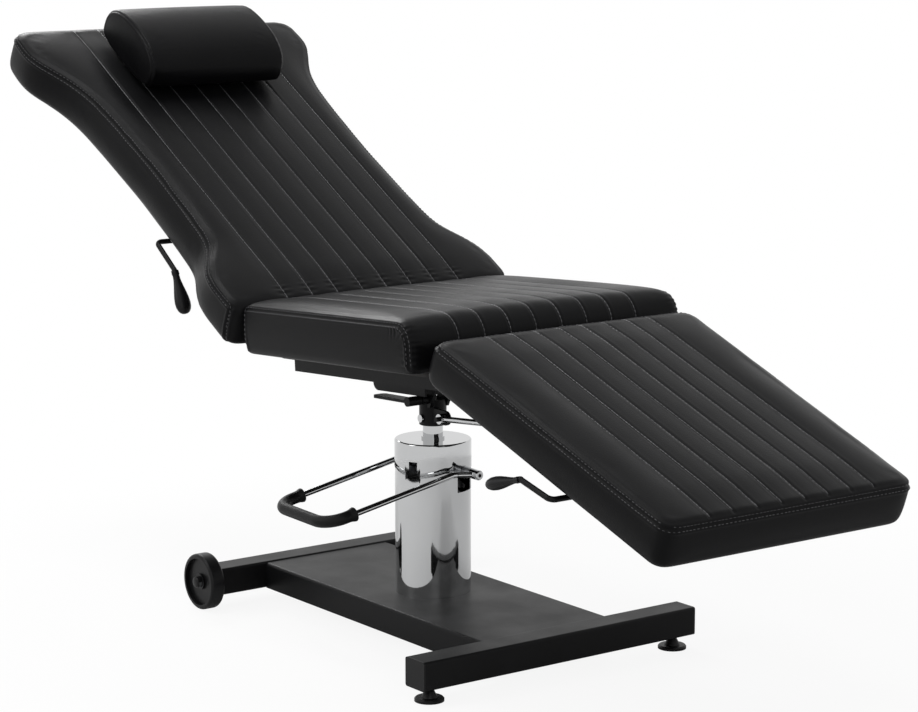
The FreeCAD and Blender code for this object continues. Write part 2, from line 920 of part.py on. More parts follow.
def gland_ring():
    cap_under_z = column_top_z - cap_top_thickness
    plug = upright(cylinder_bore_radius, cylinder_top_z - gland_depth, cylinder_top_z)
    shoulder = upright(cylinder_radius, cylinder_top_z, cap_under_z)
    lip = upright(gland_lip_radius, cap_under_z, column_top_z + gland_lip_height)
    bore = upright(rod_radius + running_gap, lever_z, column_top_z + gland_lip_height + cut_over)
    return joined(plug, shoulder, lip).cut(bore)


def piston_head():
    top = piston_rest_z + piston_height
    head = upright(cylinder_bore_radius - running_gap, piston_rest_z, top)
    return head.cut(upright(rod_spigot_radius + running_gap, piston_rest_z - cut_over, top + cut_over))


def piston_rod():
    shoulder = piston_rest_z + piston_height + seat_gap
    stem = upright(rod_radius, shoulder, socket_top_z - channel_sheet - seat_gap)
    spigot = upright(rod_spigot_radius, piston_rest_z, shoulder)
    nut_low = piston_rest_z - piston_nut_height - seat_gap
    nut = upright(rod_spigot_radius + piston_nut_wall, nut_low, piston_rest_z - seat_gap)
    neck = upright(rod_spigot_radius, nut_low, shoulder)
    return joined(stem, spigot, nut, neck)


# Foot lever of the pump, in its own frame: X along its shaft, the arms run level to the knee and then droop
def lever_point(x, reach):
    return Vector(x, -reach, -max(0, reach - lever_knee) * math.tan(math.radians(lever_slope)))


def lever_path():
    points = [
        lever_point(lever_boss_half, 0),
        lever_point(lever_boss_half, lever_boss_start),
        lever_point(lever_arm_half, lever_joggle_end),
        lever_point(lever_arm_half, lever_knee),
        lever_point(lever_arm_half, lever_reach),
    ]
    points += [Vector(-point.x, point.y, point.z) for point in reversed(points)]
    joggle_bend = lever_rod_radius * 2
    end_bends = [joggle_bend, joggle_bend, lever_bend_radius]
    bends = [joggle_bend] + end_bends + end_bends[::-1] + [joggle_bend]
    return points, bends


def pump_lever():
    points, bends = lever_path()
    lever = bent_rod(points, bends, lever_rod_radius)
    for side in (-1, 1):
        inner = Vector(side * (lever_boss_half - boss_radius), 0, 0)
        outer = Vector(side * boss_end, 0, 0)
        lever = lever.fuse(bar(inner, outer, boss_radius))
        mouth = Vector(side * (boss_end - boss_socket_depth), 0, 0)
        lever = lever.cut(bar(mouth, Vector(side * (boss_end + cut_over), 0, 0), boss_socket_radius))
    return placed(lever, lever_frame)


def lever_grip():
    start = lever_reach - lever_bend_radius - grip_arm_length
    points = [
        lever_point(lever_arm_half, start),
        lever_point(lever_arm_half, lever_reach),
        lever_point(-lever_arm_half, lever_reach),
        lever_point(-lever_arm_half, start),
    ]
    sleeve = bent_rod(points, [lever_bend_radius, lever_bend_radius], grip_radius)
    lever_points, bends = lever_path()
    sleeve = sleeve.cut(bent_rod(lever_points, bends, lever_rod_radius))
    return placed(sleeve, lever_frame)


def rocker_yoke():
    # A ring round the pump cylinder with two stub shafts behind its middle; its front presses the plunger
    middle_radius = (yoke_inner_radius + yoke_outer_radius) / 2
    stub_start = math.sqrt(middle_radius**2 - lever_shaft_y**2)
    stub_end = lever_boss_half - boss_radius
    ring_x = column_in_lever.x
    ring_y = column_in_lever.y
    ring = upright(yoke_outer_radius, -yoke_height / 2, yoke_height / 2, ring_x, ring_y)
    for side in (-1, 1):
        stub = bar(Vector(side * stub_start, 0, 0), Vector(side * stub_end, 0, 0), shaft_radius)
        ring = ring.fuse(stub)
    hole = upright(yoke_inner_radius, -yoke_height, yoke_height, ring_x, ring_y)
    return placed(ring.cut(hole).removeSplitter(), lever_frame)


# Seat frame: the socket on the piston rod, the channel, the rails and the hinge ears
def rod_socket():
    body = upright(socket_radius, socket_bottom_z, socket_top_z)
    plate_top = rail_bottom_t - channel_sheet
    for side in (-1, 1):
        y_low, y_high = sorted((side * (gusset_outer_y - gusset_thickness), side * gusset_outer_y))
        body = body.fuse(gusset(y_low, y_high, plate_top))
    ear_low = leg_spring_y + spring_eye_width / 2 + side_gap
    ear_high = ear_low + spring_fork_plate
    body = body.fuse(spring_ear(ear_low, ear_high))
    pin = cross_bar(
        leg_spring_seat_x, leg_spring_seat_z, spring_pin_radius, leg_spring_y - spring_eye_width, ear_high
    )
    boss = cross_bar(lock_x, lock_z, lock_boss_radius, -lock_boss_y, -gusset_outer_y + gusset_thickness)
    body = body.fuse(pin).fuse(boss)
    body = body.cut(upright(rod_radius + running_gap, socket_bottom_z - cut_over, socket_top_z - channel_sheet))
    bolt_hole = cross_bar(0, socket_bolt_z, socket_bolt_radius + running_gap, -socket_radius - cut_over, 0)
    pin_hole = cross_bar(
        lock_x, lock_z, lock_pin_radius + running_gap, -lock_boss_y - cut_over, -gusset_outer_y
    )
    return body.cut(bolt_hole).cut(pin_hole).removeSplitter()


def gusset(y_low, y_high, plate_top):
    # An upright web between the socket and the channel, its front edge drawn in by an arc
    back_top = height_on_seat(gusset_back_x, plate_top)
    front_top = height_on_seat(gusset_front_top_x, plate_top)
    low_back = Vector(gusset_back_x, y_low, gusset_bottom_z)
    low_front = Vector(gusset_front_low_x, y_low, gusset_bottom_z)
    middle = Vector(gusset_front_mid_x, y_low, gusset_front_mid_z)
    high_front = Vector(gusset_front_top_x, y_low, front_top)
    high_back = Vector(gusset_back_x, y_low, back_top)
    wire = Part.Wire(
        [
            Part.LineSegment(low_back, low_front).toShape(),
            Part.Arc(low_front, middle, high_front).toShape(),
            Part.LineSegment(high_front, high_back).toShape(),
            Part.LineSegment(high_back, low_back).toShape(),
        ]
    )
    return Part.Face(wire).extrude(Vector(0, y_high - y_low, 0))


def height_on_seat(x, t):
    # The level of a plane of the seat section, t above its top, at this distance from the column
    tilt = math.radians(seat_angle)
    return seat_origin_z + t / math.cos(tilt) + (x - seat_origin_x) * math.tan(tilt)


def spring_ear(y_low, y_high):
    reach = lug_eye_radius
    outline = [
        (0, leg_spring_seat_z - reach),
        (leg_spring_seat_x, leg_spring_seat_z - reach),
        (leg_spring_seat_x, leg_spring_seat_z + reach),
        (0, leg_spring_seat_z + reach),
    ]
    ear = plate(outline, y_low, y_high)
    return ear.fuse(cross_bar(leg_spring_seat_x, leg_spring_seat_z, reach, y_low, y_high))


def socket_bolt():
    head = cross_bar(
        0, socket_bolt_z, socket_bolt_head, -socket_radius - socket_bolt_radius, -socket_radius + running_gap
    )
    shank = cross_bar(0, socket_bolt_z, socket_bolt_radius, -socket_radius, -rod_radius - running_gap)
    ring = upright(socket_radius, socket_bottom_z, socket_top_z)
    return joined(head.cut(ring), shank)


def seat_channel():
    # A folded channel, open below, with two ears that carry the back's gas spring
    half = channel_half_width
    bottom = channel_bottom_t
    outer = block(channel_start, channel_end, -half, half, bottom, rail_bottom_t)
    corners = [
        edge
        for edge in edges_along(outer, Vector(0, 1, 0))
        if edge.CenterOfMass.z < bottom + cut_over and edge.CenterOfMass.x < channel_start + cut_over
    ]
    outer = outer.makeFillet(channel_corner, corners)
    inner = block(
        channel_start - cut_over,
        channel_end + cut_over,
        -half + channel_sheet,
        half - channel_sheet,
        bottom - cut_over,
        rail_bottom_t - channel_sheet,
    )
    opening = block(
        channel_start - cut_over,
        rear_bar_x + rail_size,
        -half + channel_sheet,
        half - channel_sheet,
        bottom - cut_over,
        rail_bottom_t + cut_over,
    )
    body = outer.cut(inner).cut(opening)
    eye = seat_frame.inverse().multVec(Vector(back_spring_seat_x, 0, back_spring_seat_z))
    top = rail_bottom_t - channel_sheet
    outline = [
        (channel_end - lug_eye_radius * 2, top),
        (channel_end, top),
        (eye.x + lug_eye_radius, eye.z),
        (eye.x - lug_eye_radius, eye.z),
    ]
    half_eye = spring_eye_width / 2 + side_gap
    for low in (back_spring_y - half_eye - spring_fork_plate, back_spring_y + half_eye):
        ear = plate(outline, low, low + spring_fork_plate)
        ear = ear.fuse(cross_bar(eye.x, eye.z, lug_eye_radius, low, low + spring_fork_plate))
        body = body.fuse(ear)
    low = back_spring_y - half_eye - spring_fork_plate
    high = back_spring_y + half_eye + spring_fork_plate
    body = body.fuse(cross_bar(eye.x, eye.z, spring_pin_radius, low, high))
    return placed(body.removeSplitter(), seat_frame)


def seat_rail(side):
    low, high = sorted((side * lug_outer_y, side * rail_outer_y))
    tube = square_tube(rail_start, rail_end, low, high, rail_bottom_t, rail_top_t, Vector(1, 0, 0), rail_wall)
    return placed(tube, seat_frame)


def seat_crossbars():
    bars = []
    # The front one ends at the leg rest's ears, which lie along the rails there
    for x, reach in ((rear_bar_x, lug_outer_y), (middle_bar_x, lug_outer_y), (front_bar_x, lug_inner_y)):
        tube = square_tube(
            x, x + rail_size, -reach, reach, rail_bottom_t, rail_top_t, Vector(0, 1, 0), rail_wall
        )
        bars.append(placed(tube, seat_frame))
    return Part.makeCompound(bars)


def rear_lug(side):
    # An ear on the rail's inner face that rises behind the seat to the backrest's pivot
    eye = seat_frame.inverse().multVec(back_hinge)
    half = lug_neck_width / 2
    top = rail_top_t - lug_top_clearance
    foot_end = rear_bar_x - side_gap
    outline = [
        (eye.x - half, eye.z),
        (eye.x + half, eye.z),
        (eye.x + half, top + half / 2),
        (eye.x + half * 2, top),
        (foot_end, top),
        (foot_end, top - rear_lug_height),
        (eye.x, top - rear_lug_height),
        (eye.x - half, top),
    ]
    return lug(outline, eye, side)


def front_lug(side):
    eye = seat_frame.inverse().multVec(leg_hinge)
    half = lug_neck_width / 2
    top = rail_top_t - lug_top_clearance
    bottom = top - front_lug_height
    # The neck climbs at the angle from the rail's end to the eye
    lean = math.atan2(eye.z - (top + bottom) / 2, eye.x - rail_end - lug_neck_width)
    across = Vector(-math.sin(lean) * half, 0, math.cos(lean) * half)
    along = Vector(math.cos(lean), 0, math.sin(lean))
    upper = eye + across
    lower = eye - across
    outline = [
        (upper.x, upper.z),
        (lower.x, lower.z),
        (lower.x - along.x * (lower.z - bottom) / along.z, bottom),
        (rail_end - lug_foot_length, bottom),
        (rail_end - lug_foot_length, top),
        (upper.x - along.x * (upper.z - top) / along.z, top),
    ]
    return lug(outline, eye, side)


def lug(outline, eye, side):
    low, high = sorted((side * lug_inner_y, side * lug_outer_y))
    ear = plate(outline, low, high).fuse(cross_bar(eye.x, eye.z, lug_eye_radius, low, high))
    ear = ear.cut(cross_bar(eye.x, eye.z, hinge_pin_radius + running_gap, low - cut_over, high + cut_over))
    return placed(ear.removeSplitter(), seat_frame)


def board(x_low, x_high, half_width, top, thickness):
    panel = rounded_block(
        x_low, x_high, -half_width, half_width, top - thickness, top, Vector(0, 0, 1), board_corner
    )
    return panel


def seat_board():
    panel = board(
        seat_start + seat_board_front_inset,
        seat_end - seat_board_front_inset,
        seat_half_width - seat_board_inset,
        -seat_thickness,
        board_thickness,
    )
    return placed(panel, seat_frame)


def leg_board():
    panel = board(
        leg_board_start,
        leg_start + leg_length - leg_board_inset,
        leg_foot_half_width - leg_board_inset,
        -leg_thickness,
        leg_board_thickness,
    )
    return placed(panel, leg_frame)


def back_board():
    # The board follows the cushion's waist, inset all round
    stops = [back_board_start]
    stops += [back_start + back_length * row[0] for row in back_outline_shares]
    last = back_end - back_board_inset
    stops = [s for s in stops if back_board_start <= s < last] + [last]
    side = [(s, back_outline(s)[0] - back_board_inset) for s in sorted(stops)]
    points = [Vector(s, y, -back_thickness - back_board_thickness) for s, y in side]
    points += [Vector(s, -y, -back_thickness - back_board_thickness) for s, y in reversed(side)]
    face = Part.Face(Part.makePolygon(points + points[:1]))
    return placed(face.extrude(Vector(0, 0, back_board_thickness)), back_frame)


# Frames of the backrest and the leg rest: two tubes with hinge plates, and crossbars
def section_rail(side, rail_start_s, rail_end_s, top, eye, mid_slope, frame, shaft):
    low, high = sorted((side * section_rail_inner_y, side * section_rail_outer_y))
    tube = square_tube(
        rail_start_s, rail_end_s, low, high, top - back_rail_size, top, Vector(1, 0, 0), rail_wall
    )
    plate_low, plate_high = sorted((side * hinge_plate_inner_y, side * hinge_plate_outer_y))
    outline = [
        (eye.x - lug_eye_radius, eye.z),
        (eye.x + lug_eye_radius, eye.z),
        (rail_start_s + mid_slope, top),
        (rail_start_s + lug_foot_length, top),
        (rail_start_s + lug_foot_length, top - back_rail_size),
        (rail_start_s, top - back_rail_size),
    ]
    hinge_plate = plate(outline, plate_low, plate_high)
    hinge_plate = hinge_plate.fuse(cross_bar(eye.x, eye.z, lug_eye_radius, plate_low, plate_high))
    hinge_plate = hinge_plate.cut(
        cross_bar(eye.x, eye.z, hinge_pin_radius + running_gap, plate_low - cut_over, plate_high + cut_over)
    )
    rail = tube.fuse(hinge_plate).removeSplitter()
    if shaft:
        hole_low = low - cut_over
        hole_high = high + cut_over
        rail = rail.cut(cross_bar(shaft[0], shaft[1], release_rod_radius + running_gap, hole_low, hole_high))
    return placed(rail, frame)


def back_rail(side):
    # The near rail, at +Y of the back's own frame, carries the release lever's shaft
    shaft = (back_release_shaft_s, -back_release_shaft_depth) if side < 0 else None
    eye = Vector(back_hinge_s, 0, -back_hinge_depth)
    return section_rail(
        -side, back_rail_start, back_rail_end, back_rail_top_t, eye, lug_eye_radius, back_frame, shaft
    )


def leg_rail(side):
    shaft = (leg_release_shaft_s, -leg_release_shaft_depth) if side < 0 else None
    eye = Vector(leg_hinge_s, 0, -leg_hinge_depth)
    return section_rail(side, leg_rail_start, leg_rail_end, leg_rail_top_t, eye, 0, leg_frame, shaft)


def section_crossbars(places, top, frame):
    bars = []
    for s in places:
        tube = square_tube(
            s,
            s + back_rail_size,
            -section_rail_inner_y,
            section_rail_inner_y,
            top - back_rail_size,
            top,
            Vector(0, 1, 0),
            rail_wall,
        )
        bars.append(placed(tube, frame))
    return Part.makeCompound(bars)


def hinge_pins(eye, frame):
    def one(side):
        head_low = hinge_plate_inner_y - hinge_head_height
        head = sorted((side * head_low, side * hinge_plate_inner_y))
        shank = sorted((side * hinge_plate_inner_y, side * lug_outer_y))
        pin = joined(
            cross_bar(eye.x, eye.z, hinge_head_radius, head[0], head[1]),
            cross_bar(eye.x, eye.z, hinge_pin_radius, shank[0], shank[1]),
        )
        return placed(pin, frame)

    return Part.makeCompound(both_sides(one))


# Gas springs
def crank_pin():
    turn = math.radians(back_crank_angle)
    return back_hinge + Vector(math.cos(turn), 0, math.sin(turn)) * back_crank_length


def fork_plate(pin, root_low, root_high, width, y_low, y_high):
    # A plate from a crossbar's two lower corners to a round end about the pin
    outline = [
        (root_low.x, root_low.z),
        (root_high.x, root_high.z),
        (pin.x + width / 2, pin.z),
        (pin.x - width / 2, pin.z),
    ]
    return plate(outline, y_low, y_high).fuse(cross_bar(pin.x, pin.z, width / 2, y_low, y_high))


def fork(pin, root_low, root_high, width, y_middle):
    half_eye = spring_eye_width / 2 + side_gap
    plates = []
    for low in (y_middle - half_eye - spring_fork_plate, y_middle + half_eye):
        one = fork_plate(pin, root_low, root_high, width, low, low + spring_fork_plate)
        plates.append(one.removeSplitter())
    return Part.makeCompound(plates)


def back_crank():
    low_t = back_rail_top_t - back_rail_size
    front = back_frame.multVec(Vector(back_bar_first, 0, low_t))
    rear = back_frame.multVec(Vector(back_bar_first + back_rail_size, 0, low_t))
    return fork(crank_pin(), rear, front, back_crank_width, back_spring_y)


def leg_fork():
    low_t = leg_rail_top_t - back_rail_size
    rear = leg_frame.multVec(Vector(leg_bar_first, 0, low_t))
    front = leg_frame.multVec(Vector(leg_bar_first + back_rail_size, 0, low_t))
    pin = Vector(leg_spring_leg_x, 0, leg_spring_leg_z)
    return fork(pin, rear, front, leg_fork_width, leg_spring_y)


def spring_tube_start(neck):
    # Distance from the pin's centre to the near end of the spring's tube
    return spring_eye_radius + neck


def spring_cylinder(pin, other, y, neck, length, bored_eye):
    # Tube with a closed end, a neck and an eye at its pin; the rod enters from the other end
    axis = (other - pin).normalize()
    middle = pin + Vector(0, y, 0)
    near = spring_tube_start(neck)
    far = near + length
    tube = bar(middle + axis * near, middle + axis * far, spring_cylinder_radius)
    bore_radius = spring_cylinder_radius - spring_cylinder_wall
    bore = bar(
        middle + axis * (near + spring_nose_length), middle + axis * (far - spring_nose_length), bore_radius
    )
    mouth = bar(middle + axis * (near + length / 2), middle + axis * (far + cut_over), spring_rod_radius + running_gap)
    stem = bar(middle + axis * spring_pin_radius, middle + axis * (near + spring_nose_length / 2), spring_rod_radius)
    return spring_eye(tube.cut(bore).cut(mouth).fuse(stem), pin, y, bored_eye)


def spring_rod(pin, other, y, length, bored_eye):
    axis = (other - pin).normalize()
    middle = pin + Vector(0, y, 0)
    body = bar(middle + axis * spring_pin_radius, middle + axis * length, spring_rod_radius)
    return spring_eye(body, pin, y, bored_eye)


def spring_eye(body, pin, y, bored_eye):
    low = y - spring_eye_width / 2
    high = y + spring_eye_width / 2
    body = body.fuse(cross_bar(pin.x, pin.z, spring_eye_radius, low, high)).removeSplitter()
    if bored_eye:
        hole = cross_bar(pin.x, pin.z, spring_pin_radius + running_gap, low - cut_over, high + cut_over)
        body = body.cut(hole)
    return body


def back_spring_ends():
    return Vector(back_spring_seat_x, 0, back_spring_seat_z), crank_pin()


def leg_spring_ends():
    return Vector(leg_spring_seat_x, 0, leg_spring_seat_z), Vector(leg_spring_leg_x, 0, leg_spring_leg_z)


def back_spring_cylinder():
    seat_pin, moving_pin = back_spring_ends()
    return spring_cylinder(
        seat_pin, moving_pin, back_spring_y, spring_pinned_neck, back_spring_cylinder_length, True
    )


def back_spring_rod():
    seat_pin, moving_pin = back_spring_ends()
    outside = (moving_pin - seat_pin).Length - spring_tube_start(spring_pinned_neck) - back_spring_cylinder_length
    length = outside + back_spring_cylinder_length * back_spring_insert_share
    return spring_rod(moving_pin, seat_pin, back_spring_y, length, False)


def leg_spring_rod():
    seat_pin, moving_pin = leg_spring_ends()
    outside = (moving_pin - seat_pin).Length - spring_tube_start(spring_free_neck) - leg_spring_cylinder_length
    length = outside + leg_spring_cylinder_length * leg_spring_insert_share
    return spring_rod(seat_pin, moving_pin, leg_spring_y, length, True)


def leg_spring_cylinder():
    seat_pin, moving_pin = leg_spring_ends()
    return spring_cylinder(
        moving_pin, seat_pin, leg_spring_y, spring_free_neck, leg_spring_cylinder_length, False
    )


# Release levers: a shaft through the near rail, a bent handle and a drop-shaped grip
def release_points(shaft_s, depth, outer_y):
    inner = Vector(shaft_s, release_inner_y, -depth)
    corner = Vector(shaft_s, outer_y, -depth)
    handle_end = corner + Vector(-release_handle_run, 0, -release_handle_drop)
    tip = handle_end + Vector(-release_grip_run, 0, -release_grip_drop)
    return inner, corner, handle_end, tip


def release_rod(shaft_s, depth, outer_y):
    inner, corner, handle_end, tip = release_points(shaft_s, depth, outer_y)
    rod_end = handle_end + (tip - handle_end) * release_rod_share
    return bent_rod([inner, corner, handle_end, rod_end], [release_bend, release_bend], release_rod_radius)


def mirrored_for(side, shape):
    # The back's own frame is turned half round, so its near side is +Y and the leg rest's is -Y
    return shape if side > 0 else shape.mirror(Vector(0, 0, 0), Vector(0, 1, 0))


def release_lever(shaft_s, depth, outer_y, side, frame):
    inner = release_points(shaft_s, depth, outer_y)[0]
    collar = bar(inner, inner + Vector(0, release_collar_length, 0), release_hub_radius)
    lever = joined(release_rod(shaft_s, depth, outer_y), collar)
    return placed(mirrored_for(side, lever), frame)


# Share of the grip's length, share of its half width and of its half height
grip_shape_shares = ((0.0, 0.7), (0.3, 0.8), (0.65, 1.0), (0.9, 0.85), (1.0, 0.5))


def release_grip(shaft_s, depth, outer_y, side, frame):
    handle_end, tip = release_points(shaft_s, depth, outer_y)[2:]
    axis = tip - handle_end
    up = axis.cross(Vector(0, 1, 0)).normalize()
    wires = []
    for share, swell in grip_shape_shares:
        centre = handle_end + axis * share
        wide = centre + Vector(0, release_grip_half_width * swell, 0)
        tall = centre + up * (release_grip_half_height * swell)
        wires.append(Part.Wire(Part.Ellipse(wide, tall, centre).toShape()))
    grip = Part.makeLoft(wires, True, False).cut(release_rod(shaft_s, depth, outer_y))
    return placed(mirrored_for(side, grip), frame)


# Swivel lock: a pin in the socket's near side and a pressed blade
def swivel_lock_lever():
    pin = cross_bar(lock_x, lock_z, lock_pin_radius, -lock_outer_y, -gusset_outer_y - side_gap)
    hub_low = -lock_outer_y
    hub = cross_bar(lock_x, lock_z, lock_pin_radius * 2, hub_low, hub_low + lock_blade_width)
    drop = lock_blade_length * math.tan(math.radians(lock_blade_slope))
    half = lock_blade_thickness / 2
    outline = [
        (lock_x, lock_z - half),
        (lock_x, lock_z + half),
        (lock_x - lock_blade_length, lock_z - drop + half),
        (lock_x - lock_blade_length, lock_z - drop - half),
    ]
    blade = plate(outline, hub_low, hub_low + lock_blade_width)
    tips = [edge for edge in blade.Edges if edge.CenterOfMass.x < lock_x - lock_blade_length + half]
    tips = [edge for edge in tips if abs(edge.CenterOfMass.y - hub_low - lock_blade_width / 2) > half]
    blade = blade.makeFillet(lock_blade_width / 3, tips)
    return joined(pin, hub, blade)


# Every piece under the name of its node; -1 is the right-hand side
back_release_y = back_outline(back_release_shaft_s)[0] + release_waist_gap
leg_release_y = leg_rear_half_width - release_leg_inset
back_release = (back_release_shaft_s, back_release_shaft_depth, back_release_y)
leg_release = (leg_release_shaft_s, leg_release_shaft_depth, leg_release_y)
pieces = {
    "base_tray": base_tray(),
    "front_beam": front_beam(),
    "rear_beam": rear_beam(),
    "beam_caps": beam_caps(),
    "foot_nuts": foot_nuts(),
    "wheel_axles": wheel_axles(),
    "pump_flange": pump_flange(),
    "flange_bolts": flange_bolts(),
    "pump_cylinder": pump_cylinder(),
    "reservoir_tube": reservoir_tube(),
    "column_cover": column_cover(),
    "column_cap": column_cap(),
    "gland_ring": gland_ring(),
    "piston_head": piston_head(),
    "piston_rod": piston_rod(),
    "pump_lever": pump_lever(),
    "lever_grip": lever_grip(),
    "rocker_yoke": rocker_yoke(),
    "plunger": plunger(),
    "rod_socket": rod_socket(),
    "socket_bolt": socket_bolt(),
    "seat_channel": seat_channel(),
    "seat_crossbars": seat_crossbars(),
    "rear_hinge_lugs": Part.makeCompound(both_sides(rear_lug)),
    "front_hinge_lugs": Part.makeCompound(both_sides(front_lug)),
    "seat_board": seat_board(),
    "seat_cushion": placed(seat_cushion(), seat_frame),
    "swivel_lock_lever": swivel_lock_lever(),
    "back_crossbars": section_crossbars(
        (back_bar_first, back_bar_middle, back_bar_last), back_rail_top_t, back_frame
    ),
    "back_hinge_pins": hinge_pins(Vector(back_hinge_s, 0, -back_hinge_depth), back_frame),
    "back_crank": back_crank(),
    "back_board": back_board(),
    "back_cushion": placed(back_cushion(), back_frame),
    "pillow": placed(pillow(), back_frame),
    "leg_crossbars": section_crossbars((leg_bar_first, leg_bar_middle, leg_bar_last), leg_rail_top_t, leg_frame),
    "leg_hinge_pins": hinge_pins(Vector(leg_hinge_s, 0, -leg_hinge_depth), leg_frame),
    "leg_fork": leg_fork(),
    "leg_board": leg_board(),
    "leg_cushion": placed(leg_cushion(), leg_frame),
    "back_spring_cylinder": back_spring_cylinder(),
    "back_spring_rod": back_spring_rod(),
    "leg_spring_cylinder": leg_spring_cylinder(),
    "leg_spring_rod": leg_spring_rod(),
    "back_release_lever": release_lever(*back_release, 1, back_frame),
    "back_release_grip": release_grip(*back_release, 1, back_frame),
    "leg_release_lever": release_lever(*leg_release, -1, leg_frame),
    "leg_release_grip": release_grip(*leg_release, -1, leg_frame),
}
for side, name in ((-1, "right"), (1, "left")):
    pieces["wheel_" + name] = wheel(side)
    pieces["wheel_bush_" + name] = wheel_bush(side)
    pieces["levelling_foot_" + name] = levelling_foot(side)
    pieces["seat_rail_" + name] = seat_rail(side)
    pieces["back_rail_" + name] = back_rail(side)
    pieces["leg_rail_" + name] = leg_rail(side)

# The part's origin is on the floor under the middle of its overall length
overall = Part.makeCompound(list(pieces.values())).optimalBoundingBox()
shift = Vector(-(overall.XMin + overall.XMax) / 2, 0, 0)
print("overall", overall, "shift", shift.x)
print("back hinge", back_hinge + shift, "leg hinge", leg_hinge + shift, "crank pin", crank_pin() + shift)

os.makedirs("parts", exist_ok=True)
for name, shape in pieces.items():
    shape.translate(shift)
    shape.exportStep("parts/" + name + ".step")
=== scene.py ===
import bpy
import json
import math
import numpy as np
from mathutils import Matrix, Vector, bvhtree, kdtree


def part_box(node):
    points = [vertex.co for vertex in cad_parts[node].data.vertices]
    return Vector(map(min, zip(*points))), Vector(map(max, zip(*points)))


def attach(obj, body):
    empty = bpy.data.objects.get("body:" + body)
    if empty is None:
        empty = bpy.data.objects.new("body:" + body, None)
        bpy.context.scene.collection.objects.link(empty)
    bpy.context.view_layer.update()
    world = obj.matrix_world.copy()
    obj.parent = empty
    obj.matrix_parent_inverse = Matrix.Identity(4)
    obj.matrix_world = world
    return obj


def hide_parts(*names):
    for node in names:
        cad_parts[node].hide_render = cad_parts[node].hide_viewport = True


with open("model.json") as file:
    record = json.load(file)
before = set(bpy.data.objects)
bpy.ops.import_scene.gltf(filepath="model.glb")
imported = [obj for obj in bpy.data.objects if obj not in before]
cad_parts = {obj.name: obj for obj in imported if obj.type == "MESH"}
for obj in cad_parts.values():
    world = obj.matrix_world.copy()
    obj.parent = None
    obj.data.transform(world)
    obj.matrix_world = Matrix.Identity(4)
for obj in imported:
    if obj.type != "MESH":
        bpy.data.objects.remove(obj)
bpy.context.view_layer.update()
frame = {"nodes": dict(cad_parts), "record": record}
nodes = frame["nodes"]
bpy.ops.object.select_all(action="DESELECT")
print("frame loaded,", len(nodes), "nodes")

rodLow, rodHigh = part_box("piston_rod")
columnX = (rodLow.x + rodHigh.x) / 2  # everything below is measured from the column's axis

# Where each section starts, its tilt in degrees, and whether it runs towards the head
sections = {
    "seat": {"x": -0.168, "z": 0.562, "tilt": -4.0, "headward": False},
    "back": {"x": -0.168, "z": 0.562, "tilt": 29.6, "headward": True},
    "leg": {"x": 0.3533, "z": 0.5706, "tilt": 19.54, "headward": False},
}


def sectionFrame(section):
    # X along the section, Z out of its top
    place = Matrix.Translation((columnX + section["x"], 0, section["z"]))
    place = place @ Matrix.Rotation(math.radians(section["tilt"]), 4, "Y")
    if section["headward"]:
        place = place @ Matrix.Rotation(math.pi, 4, "Z")
    return place


seatFrame = sectionFrame(sections["seat"])
backFrame = sectionFrame(sections["back"])
legFrame = sectionFrame(sections["leg"])


# Shader helpers
def newMaterial(name, colour, roughness, metallic=0.0):
    material = bpy.data.materials.new(name)
    material.use_nodes = True
    tree = material.node_tree
    shader = tree.nodes["Principled BSDF"]
    shader.inputs["Base Color"].default_value = (*colour, 1)
    shader.inputs["Roughness"].default_value = roughness
    shader.inputs["Metallic"].default_value = metallic
    material.diffuse_color = (*colour, 1)
    return material, tree, shader


def addNode(tree, kind, **values):
    node = tree.nodes.new(kind)
    for key, value in values.items():
        if key in node.inputs:
            node.inputs[key].default_value = value
        else:
            setattr(node, key, value)
    return node


def carriedOver(tree, source, fromRange, toRange):
    # A value moved from one range into another
    node = tree.nodes.new("ShaderNodeMapRange")
    for key, value in zip(("From Min", "From Max", "To Min", "To Max"), (*fromRange, *toRange)):
        node.inputs[key].default_value = value
    tree.links.new(source, node.inputs["Value"])
    return node.outputs["Result"]


# The mask's ranges are those over which the roughness and the colour change
grainLook = {
    "scale": 700.0, "wear": 9.0, "noiseShare": 0.6, "shade": 0.8,
    "roughnessRange": (0.3, 0.7), "colourRange": (0.35, 0.65),
}


def makeGrainGroup():
    # Fine cell grain with slow unevenness: puts out a height and a mask
    tree = bpy.data.node_groups.new("fineGrain", "ShaderNodeTree")
    for name, default in (("Scale", grainLook["scale"]), ("Wear Scale", grainLook["wear"])):
        socket = tree.interface.new_socket(name, in_out="INPUT", socket_type="NodeSocketFloat")
        socket.default_value = default
    for name in ("Height", "Mask"):
        tree.interface.new_socket(name, in_out="OUTPUT", socket_type="NodeSocketFloat")
    inside = tree.nodes.new("NodeGroupInput")
    outside = tree.nodes.new("NodeGroupOutput")
    coords = tree.nodes.new("ShaderNodeTexCoord")
    cells = addNode(tree, "ShaderNodeTexVoronoi", feature="F1", Randomness=1.0)
    fine = addNode(tree, "ShaderNodeTexNoise", Detail=3.0, Roughness=0.6)
    slow = addNode(tree, "ShaderNodeTexNoise", Detail=4.0, Roughness=0.55)
    mix = addNode(tree, "ShaderNodeMath", operation="MULTIPLY_ADD")
    mix.inputs[1].default_value = grainLook["noiseShare"]
    for texture, scale in ((cells, "Scale"), (fine, "Scale"), (slow, "Wear Scale")):
        tree.links.new(coords.outputs["Object"], texture.inputs["Vector"])
        tree.links.new(inside.outputs[scale], texture.inputs["Scale"])
    tree.links.new(fine.outputs["Fac"], mix.inputs[0])
    tree.links.new(cells.outputs["Distance"], mix.inputs[2])
    tree.links.new(mix.outputs["Value"], outside.inputs["Height"])
    tree.links.new(slow.outputs["Fac"], outside.inputs["Mask"])
    return tree


grainGroup = makeGrainGroup()


